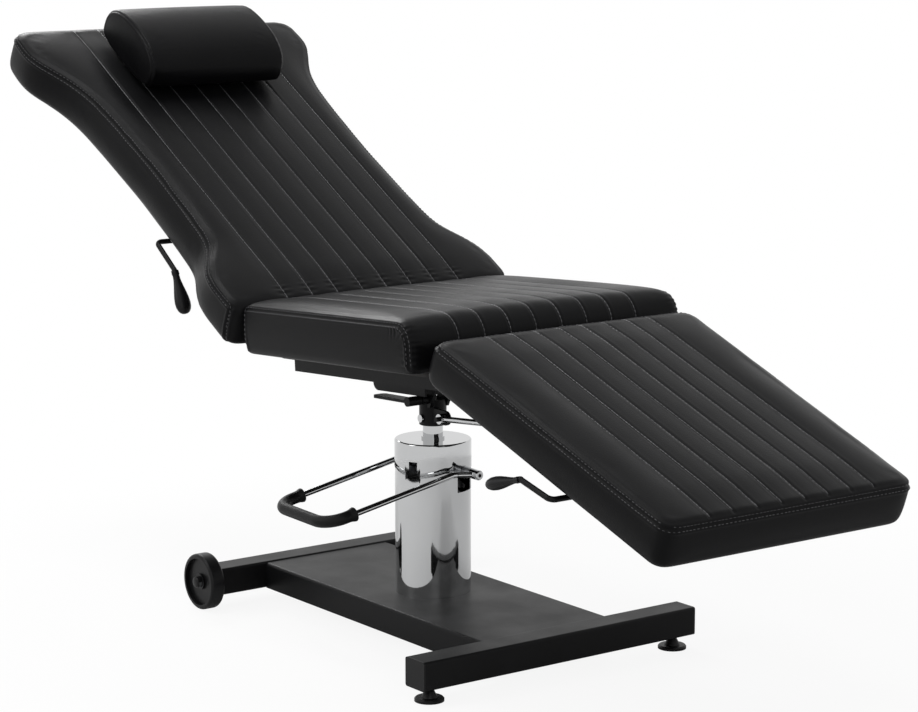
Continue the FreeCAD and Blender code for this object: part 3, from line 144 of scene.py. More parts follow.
def grainedMaterial(look):
    # One recipe for every coated, moulded or covered surface, with its own values
    roughness, colour = look["roughness"], look["colour"]
    material, tree, shader = newMaterial(look["name"], colour, roughness, look.get("metallic", 0.0))
    if "specular" in look:
        shader.inputs["Specular IOR Level"].default_value = look["specular"]
    grain = tree.nodes.new("ShaderNodeGroup")
    grain.node_tree = grainGroup
    grain.inputs["Scale"].default_value = look["grain"]
    grain.inputs["Wear Scale"].default_value = look.get("wear", grainLook["wear"])
    bump = addNode(tree, "ShaderNodeBump", Strength=look["bump"], Distance=look["depth"])
    tree.links.new(grain.outputs["Height"], bump.inputs["Height"])
    tree.links.new(bump.outputs["Normal"], shader.inputs["Normal"])
    around = (roughness - look["spread"], roughness + look["spread"])
    uneven = carriedOver(tree, grain.outputs["Mask"], grainLook["roughnessRange"], around)
    tree.links.new(uneven, shader.inputs["Roughness"])
    ramp = tree.nodes.new("ShaderNodeValToRGB")
    dark = [c * look.get("shade", grainLook["shade"]) for c in colour]
    for k, shown in enumerate((dark, colour)):
        ramp.color_ramp.elements[k].position = grainLook["colourRange"][k]
        ramp.color_ramp.elements[k].color = (*shown, 1)
    tree.links.new(grain.outputs["Mask"], ramp.inputs["Fac"])
    tree.links.new(ramp.outputs["Color"], shader.inputs["Base Color"])
    return material


looks = {
    "cushion_cover": {
        "name": "blackFauxLeather", "colour": (0.0045, 0.0045, 0.005), "roughness": 0.36, "spread": 0.05,
        "specular": 0.075, "grain": 620.0, "bump": 0.3, "depth": 0.0005, "wear": 7.0,
    },
    "pillow_cover": {
        "name": "pillowFauxLeather", "colour": (0.004, 0.004, 0.0045), "roughness": 0.34, "spread": 0.05,
        "specular": 0.07, "grain": 640.0, "bump": 0.3, "depth": 0.0005, "wear": 9.0,
    },
    "thread": {
        "name": "blackThread", "colour": (0.075, 0.075, 0.08), "roughness": 0.5, "spread": 0.05,
        "grain": 1500.0, "bump": 0.3, "depth": 0.0003,
    },
    "black_powder_coat": {
        "name": "satinPowderCoat", "colour": (0.008, 0.008, 0.0085), "roughness": 0.40, "spread": 0.05,
        "specular": 0.10, "grain": 480.0, "bump": 0.16, "depth": 0.0005, "wear": 12.0,
    },
    "black_plastic": {
        "name": "mouldedBlackPlastic", "colour": (0.007, 0.007, 0.0075), "roughness": 0.40, "spread": 0.05,
        "specular": 0.18, "grain": 900.0, "bump": 0.15, "depth": 0.0004,
    },
    "grip_rubber": {
        "name": "foamGripRubber", "colour": (0.005, 0.005, 0.005), "roughness": 0.45, "spread": 0.06,
        "specular": 0.15, "grain": 800.0, "bump": 0.35, "depth": 0.0005,
    },
    "wheel_rubber": {
        "name": "wheelRubber", "colour": (0.006, 0.006, 0.0065), "roughness": 0.36, "spread": 0.07,
        "specular": 0.16, "grain": 420.0, "bump": 0.2, "depth": 0.0005,
    },
    "pivot_bush": {
        "name": "bushPlastic", "colour": (0.03, 0.03, 0.03), "roughness": 0.3, "spread": 0.04,
        "grain": 900.0, "bump": 0.1, "depth": 0.0003,
    },
    "board_wood": {
        "name": "stainedPlywood", "colour": (0.014, 0.012, 0.011), "roughness": 0.7, "spread": 0.08,
        "grain": 160.0, "bump": 0.3, "depth": 0.001, "wear": 22.0, "shade": 0.6,
    },
    "zinc_steel": {
        "name": "zincPlatedSteel", "colour": (0.52, 0.53, 0.55), "roughness": 0.32, "spread": 0.08,
        "metallic": 1.0, "grain": 700.0, "bump": 0.08, "depth": 0.0003, "wear": 30.0,
    },
    "chrome": {
        "name": "mirrorChrome", "colour": (0.52, 0.525, 0.53), "roughness": 0.05, "spread": 0.025,
        "metallic": 1.0, "grain": 300.0, "bump": 0.015, "depth": 0.0002, "wear": 14.0, "shade": 0.97,
    },
}
finish = {key: grainedMaterial(look) for key, look in looks.items()}
slotOf = {entry["node"]: entry["material_slot"] for entry in frame["record"]["subparts"]}
for name, node in nodes.items():
    node.data.materials.clear()
    node.data.materials.append(finish[slotOf[name]])
print("materials made")

# Faces that meet at less than these degrees shade as one
smoothAngles = {"stitch": 80, "turned": 35, "cad": 32}


# Small mesh helpers
def meshObject(name, points, faces, frameMatrix=None):
    data = bpy.data.meshes.new(name)
    data.from_pydata([tuple(p) for p in points], [], faces)
    data.validate()
    if frameMatrix:
        data.transform(frameMatrix)
    made = bpy.data.objects.new(name, data)
    bpy.context.scene.collection.objects.link(made)
    return made


def makeActive(target):
    bpy.ops.object.select_all(action="DESELECT")
    target.select_set(True)
    bpy.context.view_layer.objects.active = target


def smoothFaces(target, kind):
    makeActive(target)
    bpy.ops.object.shade_smooth_by_angle(angle=math.radians(smoothAngles[kind]))


def applyAll(target):
    makeActive(target)
    for modifier in list(target.modifiers):
        bpy.ops.object.modifier_apply(modifier=modifier.name)


def readVectors(target, kind):
    flat = np.empty(len(target.data.vertices) * 3)
    target.data.vertices.foreach_get(kind, flat)
    return flat.reshape(-1, 3)


def readPoints(target):
    return readVectors(target, "co")


def readNormals(target):
    return readVectors(target, "normal")


def writePoints(target, points):
    target.data.vertices.foreach_set("co", points.reshape(-1))
    target.data.update()


def smoothStep(value, low, high):
    share = np.clip((value - low) / (high - low), 0, 1)
    return share * share * (3 - 2 * share)


def facesOutward(target):
    makeActive(target)
    bpy.ops.object.mode_set(mode="EDIT")
    bpy.ops.mesh.select_all(action="SELECT")
    bpy.ops.mesh.normals_make_consistent(inside=False)
    bpy.ops.object.mode_set(mode="OBJECT")


def remeshed(target, size):
    remesh = target.modifiers.new("remesh", "REMESH")
    remesh.mode = "VOXEL"
    remesh.voxel_size = size
    remesh.use_smooth_shade = True
    applyAll(target)


def eased(target, factor, repeats):
    ease = target.modifiers.new("ease", "SMOOTH")
    ease.factor = factor
    ease.iterations = repeats
    applyAll(target)


def divided(target):
    divide = target.modifiers.new("divide", "SUBSURF")
    divide.levels = 1
    divide.render_levels = 1
    applyAll(target)


def ringFaces(rings, count):
    # Faces between each closed ring of points and the next
    faces = []
    for ring in range(rings - 1):
        here, above = ring * count, (ring + 1) * count
        for k in range(count):
            after = (k + 1) % count
            faces.append((here + k, here + after, above + after, above + k))
    return faces


# Cushions: points per side and up the height, then how the sides lean in from their widest height
cushionShape = {
    "planPoints": 150, "evenShare": 0.7, "crowdedShare": 0.3, "levels": 37, "cornerPoints": 13,
    "widest": 0.45, "leanPower": 1.3, "tuck": 0.006, "averageReach": 0.024, "averagePoints": 9,
    "easeFactor": 0.5, "easeRepeats": 2,
}


def barRounding(depth, radius):
    # How far a surface is drawn in at this depth below an edge rounded to this radius
    reach = np.clip(radius - depth, 0, radius)
    return radius - np.sqrt(np.maximum(radius**2 - reach**2, 0))


def sideDraw(spec, z, side):
    topRadius, lowRadius = spec["radii"][side]
    return barRounding(-z, topRadius) + barRounding(spec["thick"] + z, lowRadius)


def outlineAt(spec, share, column):
    # A column of the outline's table, averaged over a short run so that its corners ease
    places = [row[0] for row in spec["outline"]]
    values = [row[column] for row in spec["outline"]]
    reach = cushionShape["averageReach"]
    shifts = np.linspace(-reach, reach, cushionShape["averagePoints"])
    return sum(np.interp(share + shift, places, values) for shift in shifts) / len(shifts)


def halfWidthAt(spec, s, z):
    # The widest plan, leaning in towards the top seam and drawn in a little at the bottom
    share = np.clip((s - spec["start"]) / (spec["end"] - spec["start"]), 0, 1)
    height = np.clip(1 + z / spec["thick"], 0, 1)
    widest = cushionShape["widest"]
    rise = np.clip((height - widest) / (1 - widest), 0, 1)
    sink = np.clip((widest - height) / widest, 0, 1)
    lean = outlineAt(spec, share, 2) * rise ** cushionShape["leanPower"]
    return outlineAt(spec, share, 1) - lean - cushionShape["tuck"] * sink**2 - sideDraw(spec, z, "side")


def planRing(spec, z):
    # One closed plan outline at a height, from the rear along the -Y side to the front and back along +Y
    start = spec["start"] + sideDraw(spec, z, "rear")
    end = spec["end"] - sideDraw(spec, z, "front")
    count = cushionShape["planPoints"]
    share = np.linspace(0, 1, count)
    crowded = 0.5 - 0.5 * np.cos(np.pi * share)
    share = cushionShape["evenShare"] * share + cushionShape["crowdedShare"] * crowded
    s = start + (end - start) * share
    corner = spec["corner"]
    half = halfWidthAt(spec, s, z) - barRounding(s - start, corner) - barRounding(end - s, corner)
    lower = np.stack([s, -half, np.full(count, z)], 1)
    upper = np.stack([s[::-1], half[::-1], np.full(count, z)], 1)
    return np.concatenate([lower, upper])


def cushionBody(name, spec):
    turns = np.linspace(0, np.pi, cushionShape["levels"])
    rings = [planRing(spec, z) for z in -spec["thick"] * (0.5 + 0.5 * np.cos(turns))]
    count = len(rings[0])
    faces = ringFaces(len(rings), count)
    last = (len(rings) - 1) * count
    for k in range(count // 2 - 1):
        other = count - 1 - k
        faces.append((k, other, other - 1, k + 1))
        faces.append((last + k, last + k + 1, last + other - 1, last + other))
    return meshObject(name, np.concatenate(rings), faces)


# Sewing: step along a path, where seams run, and the valley that a seam presses with a bank on each side
sewing = {
    "step": 0.0016, "foot": 0.01, "rollInset": 0.007, "rollHeight": 0.4, "topSeam": 0.0085,
    "hipStart": 0.009, "hipWidthAt": 0.02, "hipInset": 0.006, "hipClear": 0.010,
    "reach": 0.03, "width": 0.0022, "bankPlace": 2.3, "lineBank": 0.25, "seamBank": 0.9,
    "rowShift": 0.0036, "rowAverage": 6,
}


def surfaceTree(target):
    return bvhtree.BVHTree.FromObject(target, bpy.context.evaluated_depsgraph_get())


def onSurface(tree, path):
    # Every point of a path moved to the nearest place on the surface, with the normal there
    found = []
    for point in path:
        spot, normal = tree.find_nearest(Vector(point))[:2]
        if spot is not None:
            found.append((spot, normal))
    return found


def spotsOn(tree, paths):
    return [[item[0] for item in onSurface(tree, path)] for path in paths]


def evened(row):
    # A row of stitches runs true where the surface under it is uneven
    reach = sewing["rowAverage"]
    spots = np.array([tuple(item[0]) for item in row])
    longer = np.concatenate([np.repeat(spots[:1], reach, 0), spots, np.repeat(spots[-1:], reach, 0)])
    kernel = np.full(2 * reach + 1, 1 / (2 * reach + 1))
    even = np.stack([np.convolve(longer[:, axis], kernel, "valid") for axis in range(3)], 1)
    return [(Vector(spot), item[1]) for spot, item in zip(even, row)]


def spaced(path):
    # The same line with evenly spaced points
    path = np.array(path, dtype=float)
    run = np.concatenate([[0], np.cumsum(np.linalg.norm(np.diff(path, axis=0), axis=1))])
    wanted = np.arange(0, run[-1], sewing["step"])
    return np.stack([np.interp(wanted, run, path[:, axis]) for axis in range(3)], 1)


def lengthProfile(spec, y, inset=0.0):
    # The outline along the section at this width: up the rear, over the top and down the front
    rearRadius, frontRadius = spec["radii"]["rear"][0], spec["radii"]["front"][0]
    bottom = -spec["thick"] + sewing["foot"]
    found = [(spec["start"] + inset, y, bottom)]
    rear = (spec["start"] + rearRadius, rearRadius, 180, 90)
    front = (spec["end"] - frontRadius, frontRadius, 90, 0)
    for centre, radius, first, last in (rear, front):
        for turn in np.linspace(first, last, cushionShape["cornerPoints"]):
            along = (radius - inset) * math.cos(math.radians(turn))
            rise = (radius - inset) * math.sin(math.radians(turn))
            found.append((centre + along, y, -radius + rise))
    found.append((spec["end"] - inset, y, bottom))
    return spaced(found)


def channelLines(spec):
    # Each line runs down the rear and the front as far as its drop
    middle = (spec["start"] + spec["end"]) / 2
    lines = []
    for y in spec["lines"]:
        path = lengthProfile(spec, y)
        keep = (path[:, 2] > -spec["drop"]["front"]) | (path[:, 0] < middle)
        keep &= (path[:, 2] > -spec["drop"]["rear"]) | (path[:, 0] > middle)
        lines.append(path[keep])
    return lines


def edgeSeams(spec, shift=0.0):
    # Where the top panel meets the side; shift moves the line away from the top's edge
    if spec["seam"] == "roll":  # the top panel rolls over the front and the rear, between two side panels
        paths = []
        for side in (-1, 1):
            path = lengthProfile(spec, 0, sewing["rollInset"] + shift)
            path[:, 1] = side * halfWidthAt(spec, path[:, 0], -spec["thick"] * sewing["rollHeight"])
            paths.append(path)
        return paths
    depth = -sewing["topSeam"] - shift
    ring = planRing(spec, depth)
    if spec["seam"] == "loop":
        return [spaced(np.concatenate([ring[-1:], ring]))]
    # Round the hips the seam falls down the side instead of crossing the rear
    low = -spec["thick"] + sewing["foot"]
    falls = []
    for side, corner in ((-1, ring[0]), (1, ring[-1])):
        half = halfWidthAt(spec, corner[0] + sewing["hipWidthAt"], low) - sewing["hipInset"] - shift
        falls.append(np.array([[corner[0] + sewing["hipStart"], side * half, low]]))
    keep = ring[ring[:, 0] > spec["start"] + sideDraw(spec, depth, "rear") + sewing["hipClear"]]
    return [spaced(np.concatenate([falls[0], keep, falls[1]]))]


def nearness(target, paths, reach):
    # Distance from each vertex to the nearest seam point, and how far along its seam that point lies
    tree = kdtree.KDTree(sum(len(path) for path in paths))
    along = []
    for path in paths:
        run = 0.0
        last = None
        for point in path:
            run += 0 if last is None else float(np.linalg.norm(np.array(point) - np.array(last)))
            tree.insert(point, len(along))
            along.append(run)
            last = point
    tree.balance()
    distance = np.full(len(target.data.vertices), reach)
    place = np.zeros(len(target.data.vertices))
    for k, point in enumerate(readPoints(target)):
        index, found = tree.find(point)[1:]
        if found < reach:
            distance[k] = found
            place[k] = along[index]
    return distance, place


# Padding: cloth run for some frames, held at the seams and the underside, with little drift sideways
padding = {"frames": 18, "quality": 4, "drift": 0.0012, "reach": 0.02, "heldShare": 0.8, "underside": 0.006}


def inflate(target, look, held):
    # Cloth under pressure between the sewn lines; it only swells, and no further than its cap
    normals, before = readNormals(target), readPoints(target)
    sewn = target.vertex_groups.new(name="sewn")
    sewn.add([int(k) for k in np.nonzero(held)[0]], 1.0, "REPLACE")
    cloth = target.modifiers.new("cloth", "CLOTH")
    cloth.settings.use_pressure = True
    cloth.settings.uniform_pressure_force = look["pressure"]
    cloth.settings.effector_weights.gravity = 0
    cloth.settings.vertex_group_mass = "sewn"
    cloth.settings.quality = padding["quality"]
    cloth.point_cache.frame_start = 1
    cloth.point_cache.frame_end = padding["frames"]
    for step in range(1, padding["frames"] + 1):
        bpy.context.scene.frame_set(step)
    applyAll(target)
    bpy.context.scene.frame_set(1)
    move = readPoints(target) - before
    rise = np.sum(move * normals, axis=1, keepdims=True)
    sideways = move - normals * rise
    size = np.maximum(np.linalg.norm(sideways, axis=1, keepdims=True), 1e-9)  # never zero
    sideways *= np.minimum(1, padding["drift"] / size)
    writePoints(target, before + normals * np.clip(rise, 0, look["cap"]) + sideways)
    target.vertex_groups.clear()


# Crown: heights between which the swelling fades in, and the plain strip at the sides
crownLook = {
    "widthAt": -0.02, "lift": (-0.022, -0.001), "puff": (-0.008, -0.001),
    "sideStrip": 0.05, "roundness": 0.8,
}


def crown(target, spec):
    # The top swells in the middle, and each channel a little between its lines
    points = readPoints(target)
    s, y, z = points[:, 0], points[:, 1], points[:, 2]
    half = halfWidthAt(spec, s, crownLook["widthAt"])
    rear = smoothStep(s, spec["start"], spec["start"] + spec["ramp"])
    front = 1 - smoothStep(s, spec["end"] - spec["ramp"], spec["end"])
    fade = spec["endShare"] + (1 - spec["endShare"]) * (rear * front)
    across = np.clip(np.abs(y) / half, 0, 1)
    lift = spec["crown"] * (1 - across**2) * fade
    gap = spec["lines"][1] - spec["lines"][0]
    channel = np.clip((y - spec["lines"][0]) / gap, -0.5, len(spec["lines"]) - 0.5)
    inside = 1 - smoothStep(np.abs(y), half - crownLook["sideStrip"], half)
    between = np.abs(np.sin(np.pi * channel)) ** crownLook["roundness"] * inside
    puff = spec["puff"] * between * smoothStep(z, *crownLook["puff"])
    points[:, 2] += smoothStep(z, *crownLook["lift"]) * (lift + puff)
    writePoints(target, points)


def pressed(target, paths, look):
    # A valley along each path, with a low bank on each side
    distance = nearness(target, paths, look["reach"])[0]
    points, normals = readPoints(target), readNormals(target)
    valley = look["depth"] * np.exp(-((distance / look["width"]) ** 2))
    bank = look["bank"] * np.exp(-(((distance - look["bankPlace"]) / look["width"]) ** 2))
    writePoints(target, points - normals * (valley - bank)[:, None])


def sewnPress(depth, bank):
    width = sewing["width"]
    return {
        "reach": sewing["reach"], "depth": depth, "width": width,
        "bank": bank * depth, "bankPlace": sewing["bankPlace"] * width,
    }


# Gathers: how unevenly the creases follow each other, and how they fade at the seam and at their ends
gatherLook = {"swing": 1.7, "drift": 0.9, "seamFade": 0.004, "fadeOut": 0.012, "fadeIn": 0.008}


def gathered(target, paths, look):
    # Short creases square to a seam where the cover is drawn round a corner
    distance, place = nearness(target, paths, look["reach"] * 2)
    points, normals = readPoints(target), readNormals(target)
    crease = place / look["pitch"]
    wave = np.sin(crease * 2 * np.pi + gatherLook["swing"] * np.sin(crease * gatherLook["drift"]))
    strength = look["depth"] * np.exp(-((distance / look["reach"]) ** 2))
    strength = strength * smoothStep(distance, 0.0, gatherLook["seamFade"])
    fadeOut, fadeIn = gatherLook["fadeOut"], gatherLook["fadeIn"]
    inside = np.ones(len(points))
    for axis, low, high in look["where"]:
        past = smoothStep(points[:, axis], high - fadeIn, high + fadeOut)
        inside *= smoothStep(points[:, axis], low - fadeOut, low + fadeIn) * (1 - past)
    writePoints(target, points + normals * (wave * strength * inside)[:, None])


# Stitches; the limits leave out one over a gap in its row, or where the row stands up off the surface
lineStitch = {"length": 0.0072, "radius": 0.00080, "pitch": 0.0064, "lift": 0.0004, "taper": 0.9}
edgeStitch = {"length": 0.0052, "radius": 0.00048, "pitch": 0.0064, "lift": 0.0004, "taper": 0.55}
stitchLimits = {"longGap": 0.01, "noGap": 1e-6, "side": 0.2}


def stitchRows(name, rows, look, frameMatrix, body):
    # Short raised stitches, one shape laid again and again along the rows
    points, faces = [], []
    half, thick, lift = look["length"] / 2, look["radius"], look["lift"]
    for row in rows:
        travelled = 0.0
        for k in range(len(row) - 1):
            here, normal = row[k]
            after = row[k + 1][0]
            gap = (after - here).length
            travelled += gap
            if gap > stitchLimits["longGap"] or gap < stitchLimits["noGap"] or travelled < look["pitch"]:
                continue
            travelled = 0.0
            along = (after - here).normalized()
            side = along.cross(normal)
            if side.length < stitchLimits["side"]:
                continue
            side = side.normalized()
            up = side.cross(along).normalized()
            if up.dot(normal) < 0:
                up = -up
                side = -side
            base = len(points)
            points.append(here - along * half - up * lift)
            for end in (-look["taper"], look["taper"]):
                middle = here + along * (half * end) + up * lift
                points += [middle + side * thick, middle + up * thick]
                points += [middle - side * thick, middle - up * thick]
            points.append(here + along * half - up * lift)
            for corner in range(4):  # two rings of four points between two tips
                first, second = base + 1 + corner, base + 5 + corner
                firstNext, secondNext = base + 1 + (corner + 1) % 4, base + 5 + (corner + 1) % 4
                faces.append((base, firstNext, first))
                faces.append((first, firstNext, secondNext, second))
                faces.append((base + 9, second, secondNext))
    made = meshObject(name, points, faces, frameMatrix)
    facesOutward(made)
    made.data.materials.append(finish["thread"])
    smoothFaces(made, "stitch")
    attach(made, body)


def makeCushion(name, spec, frameMatrix, body, node):
    made = cushionBody(name, spec)
    facesOutward(made)
    remeshed(made, spec["voxel"])
    crown(made, spec)
    sewn = spotsOn(surfaceTree(made), channelLines(spec) + edgeSeams(spec))
    near = nearness(made, sewn, padding["reach"])[0]
    low = readPoints(made)[:, 2] < -spec["thick"] + padding["underside"]
    inflate(made, spec, (near < spec["voxel"] * padding["heldShare"]) | low)
    eased(made, cushionShape["easeFactor"], cushionShape["easeRepeats"])
    divided(made)
    # Sewn valleys, the top seam and its gathers are pressed in after the sheet is smooth
    tree = surfaceTree(made)
    lines = spotsOn(tree, channelLines(spec))
    seams = spotsOn(tree, edgeSeams(spec))
    pressed(made, lines, sewnPress(spec["lineDepth"], sewing["lineBank"]))
    pressed(made, seams, sewnPress(spec["seamDepth"], sewing["seamBank"]))
    for look in spec["gathers"]:
        gathered(made, seams if look["seam"] == "edge" else lines, look)
    tree = surfaceTree(made)
    lineRows = [onSurface(tree, path) for path in channelLines(spec)]
    edgeRows = []
    for shift in (-sewing["rowShift"], sewing["rowShift"]):
        edgeRows += [evened(onSurface(tree, path)) for path in edgeSeams(spec, shift)]
    made.data.transform(frameMatrix)
    made.data.materials.append(finish["cushion_cover"])
    makeActive(made)
    bpy.ops.object.shade_smooth()
    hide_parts(node)
    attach(made, body)
    stitchRows(name + "Stitches", lineRows, lineStitch, frameMatrix, body)
    stitchRows(name + "EdgeStitches", edgeRows, edgeStitch, frameMatrix, body)
    print(name, len(made.data.polygons), "faces")


lineCount = 8
lineSpacing = 0.05066
legLineSpacing = 0.04556
backHalf = 0.302


def linePlaces(spacing):
    return [spacing * (k - (lineCount - 1) / 2) for k in range(lineCount)]


# Outlines are rows of place along the section, half width and lean
seatSpec = {
    "start": 0.001, "end": 0.481, "thick": 0.085, "corner": 0.013,
    "radii": {"side": (0.014, 0.007), "rear": (0.012, 0.006), "front": (0.040, 0.014)},
    "outline": ((0, 0.272, 0.003), (1, 0.272, 0.003)),
    "crown": 0.008, "puff": 0.0018, "ramp": 0.09, "endShare": 0.2, "voxel": 0.0055,
    "lines": linePlaces(lineSpacing), "drop": {"rear": 0.02, "front": 0.062},
    "lineDepth": 0.0013, "seam": "roll", "seamDepth": 0.0016, "pressure": 4.0, "cap": 0.005, "fill": 0.8,
    "gathers": (
        {
            "seam": "edge", "pitch": 0.0085, "depth": 0.0011, "reach": 0.016,
            "where": ((0, 0.43, 0.52), (2, -0.075, -0.012)),
        },
    ),
}
backOutline = (
    (0.0, 0.955, 0.000), (0.108, 0.958, 0.001), (0.156, 0.920, 0.007), (0.198, 0.855, 0.017),
    (0.232, 0.828, 0.019), (0.308, 0.815, 0.019), (0.480, 0.805, 0.019), (0.640, 0.822, 0.019),
    (0.730, 0.838, 0.017), (0.790, 0.868, 0.012), (0.845, 0.925, 0.005), (0.885, 0.985, 0.002),
    (0.920, 1.0, 0.000), (1.0, 0.985, 0.000),
)
backSpec = {
    "start": -0.016, "end": 0.8403, "thick": 0.080, "corner": 0.024,
    "radii": {"side": (0.012, 0.012), "rear": (0.024, 0.008), "front": (0.016, 0.018)},
    "outline": [(place, share * backHalf, lean) for place, share, lean in backOutline],
    "crown": 0.007, "puff": 0.0018, "ramp": 0.09, "endShare": 0.2, "voxel": 0.0055,
    "lines": linePlaces(lineSpacing), "drop": {"rear": 0.026, "front": 0.0012},
    "lineDepth": 0.0014, "seam": "hips", "seamDepth": 0.0018, "pressure": 4.0, "cap": 0.005, "fill": 0.8,
    "gathers": (
        {"seam": "line", "pitch": 0.011, "depth": 0.0010, "reach": 0.012, "where": ((0, -0.03, 0.03),)},
    ),
}
legSpec = {
    "start": -0.0065, "end": 0.563, "thick": 0.075, "corner": 0.020,
    "radii": {"side": (0.012, 0.009), "rear": (0.024, 0.020), "front": (0.012, 0.011)},
    "outline": ((0, 0.257, 0.002), (1, 0.243, 0.002)),
    "crown": 0.006, "puff": 0.0016, "ramp": 0.09, "endShare": 0.2, "voxel": 0.0055,
    "lines": linePlaces(legLineSpacing), "drop": {"rear": 0.03, "front": 0.0012},
    "lineDepth": 0.0013, "seam": "loop", "seamDepth": 0.0018, "pressure": 4.0, "cap": 0.005, "fill": 0.8,
    "gathers": (),
}
makeCushion("seatCover", seatSpec, seatFrame, "seat", "seat_cushion")
makeCushion("backCover", backSpec, backFrame, "backrest", "back_cushion")
makeCushion("legCover", legSpec, legFrame, "leg_rest", "leg_cushion")

# Pillow: a half roll, full at its front, with sewn-in end discs
pillowSpec = {
    "s": 0.697, "halfLength": 0.1415, "halfWidth": 0.098, "height": 0.0855, "base": 0.0095, "end": 0.016,
    "sides": 96, "below": 0.40, "above": 0.60, "sidePower": 0.85, "topPower": 0.86, "lowPower": 0.45,
    "centre": 0.45, "discRings": 6, "discScale": 0.93, "discBulge": 0.004, "discHole": 0.02,
    "rimRings": 6, "rimStart": 15, "rimScale": 0.07, "rollRings": 45, "rollBulge": 0.012, "voxel": 0.005,
    "seamScale": 0.965, "seamInset": 0.0015, "pressure": 4.0, "cap": 0.004, "heldReach": 0.005,
    "underside": 0.003,
    "press": {"reach": 0.02, "depth": 0.0016, "width": 0.0022, "bank": 0.0008, "bankPlace": 0.005},
}


def pillowProfile(spec):
    # The roll's section as (place along the back, height) rows, widest at "below" of its height
    found = []
    for turn in np.linspace(0, 360, spec["sides"] + 1)[:-1]:
        across = math.cos(math.radians(turn))
        up = math.sin(math.radians(turn))
        x = math.copysign(abs(across) ** spec["sidePower"], across)
        if up > 0:
            z = spec["below"] + spec["above"] * abs(up) ** spec["topPower"]
        else:
            z = spec["below"] - spec["below"] * abs(up) ** spec["lowPower"]
        found.append((x * spec["halfWidth"], z * spec["height"]))
    return np.array(found)


def pillowRows(spec):
    # Each row of the roll's mesh: its place along Y and the scale of its section
    length, end = spec["halfLength"], spec["end"]
    rows = []
    for k in range(spec["discRings"] + 1):  # from the middle of the end disc out to its seam
        share = max(spec["discHole"], k / spec["discRings"])
        rows.append((-length - spec["discBulge"] * (1 - share**2), share * spec["discScale"]))
    for turn in np.linspace(spec["rimStart"], 90, spec["rimRings"]):
        angle = math.radians(turn)
        scale = spec["discScale"] + spec["rimScale"] * math.sin(angle)
        rows.append((-length + end * (1 - math.cos(angle)), scale))
    roll = []
    for y in np.linspace(-length + end, length - end, spec["rollRings"])[1:-1]:
        roll.append((y, 1.0 + spec["rollBulge"] * math.cos(y / length * math.pi / 2)))
    return rows + roll + [(-y, scale) for y, scale in reversed(rows)]


def makePillow(name, spec, frameMatrix, body, node):
    profile = pillowProfile(spec)
    centre = np.array([0.0, spec["height"] * spec["centre"]])
    count = len(profile)
    rings = []
    for y, scale in pillowRows(spec):
        ring = centre + (profile - centre) * scale
        rings.append(np.stack([spec["s"] + ring[:, 0], np.full(count, y), spec["base"] + ring[:, 1]], 1))
    faces = ringFaces(len(rings), count)
    faces.append(tuple(reversed(range(count))))
    faces.append(tuple((len(rings) - 1) * count + k for k in range(count)))
    made = meshObject(name, np.concatenate(rings), faces)
    facesOutward(made)
    remeshed(made, spec["voxel"])
    seams = []
    ring = centre + (profile - centre) * spec["seamScale"]
    for side in (-1, 1):
        y = side * (spec["halfLength"] - spec["seamInset"])
        loop = [Vector((spec["s"] + x, y, spec["base"] + z)) for x, z in ring]
        dense = []
        for here, after in zip(loop, loop[1:] + loop[:1]):
            dense += [here.lerp(after, share) for share in (0, 0.25, 0.5, 0.75)]
        seams.append(dense)
    near = nearness(made, seams, padding["reach"])[0]
    low = readPoints(made)[:, 2] < spec["base"] + spec["underside"]
    inflate(made, spec, (near < spec["heldReach"]) | low)
    divided(made)
    pressed(made, seams, spec["press"])
    made.data.transform(frameMatrix)
    made.data.materials.append(finish["pillow_cover"])
    makeActive(made)
    bpy.ops.object.shade_smooth()
    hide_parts(node)
    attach(made, body)
    print(name, len(made.data.polygons), "faces")


makePillow("pillowCover", pillowSpec, backFrame, "backrest", "pillow")
print("cushions made")


# Small turned pieces: rings drawn out along a profile of (height, radius) rows
def turnedPiece(name, profile, place, slot, body, sides=32):
    bpy.ops.object.select_all(action="DESELECT")
    height, radius = profile[0]
    bpy.ops.mesh.primitive_circle_add(
        vertices=sides, radius=radius, fill_type="NGON", location=(0, 0, height),
    )
    made = bpy.context.object
    made.name = name
    bpy.ops.object.transform_apply(location=True, rotation=True, scale=True)
    bpy.ops.object.mode_set(mode="EDIT")
    bpy.ops.mesh.select_all(action="SELECT")
    for nextHeight, nextRadius in profile[1:]:
        bpy.ops.mesh.extrude_region_move(TRANSFORM_OT_translate={"value": (0, 0, nextHeight - height)})
        grow = nextRadius / radius
        bpy.ops.transform.resize(value=(grow, grow, 1), center_override=(0, 0, nextHeight))
        height, radius = nextHeight, nextRadius
    bpy.ops.mesh.select_all(action="SELECT")
    bpy.ops.mesh.fill_holes(sides=0)
    bpy.ops.mesh.normals_make_consistent(inside=False)
    bpy.ops.object.mode_set(mode="OBJECT")
    made.data.transform(place)
    made.data.materials.append(finish[slot])
    smoothFaces(made, "turned")
    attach(made, body)
    return made


def placeAlong(spot, along, across):
    # Z runs along the piece, X across it
    along = Vector(along).normalized()
    across = Vector(across)
    across = (across - along * across.dot(along)).normalized()
    turn = Matrix((across, along.cross(across), along)).transposed().to_4x4()
    return Matrix.Translation(Vector(spot)) @ turn


# Where an end of X begins, as a share of the length from its middle, and how deep an end face is
endPart = {"xShare": 0.35, "faceDepth": 0.0006}


def endOf(node, along, side=None):
    # Middle of the end face that lies furthest along a direction, at one end of X if a side is given
    points = readPoints(node)
    if side is not None:
        low, high = points[:, 0].min(), points[:, 0].max()
        points = points[side * (points[:, 0] - (low + high) / 2) > (high - low) * endPart["xShare"]]
    reach = points @ np.array(along)
    return Vector(points[reach > reach.max() - endPart["faceDepth"]].mean(axis=0))


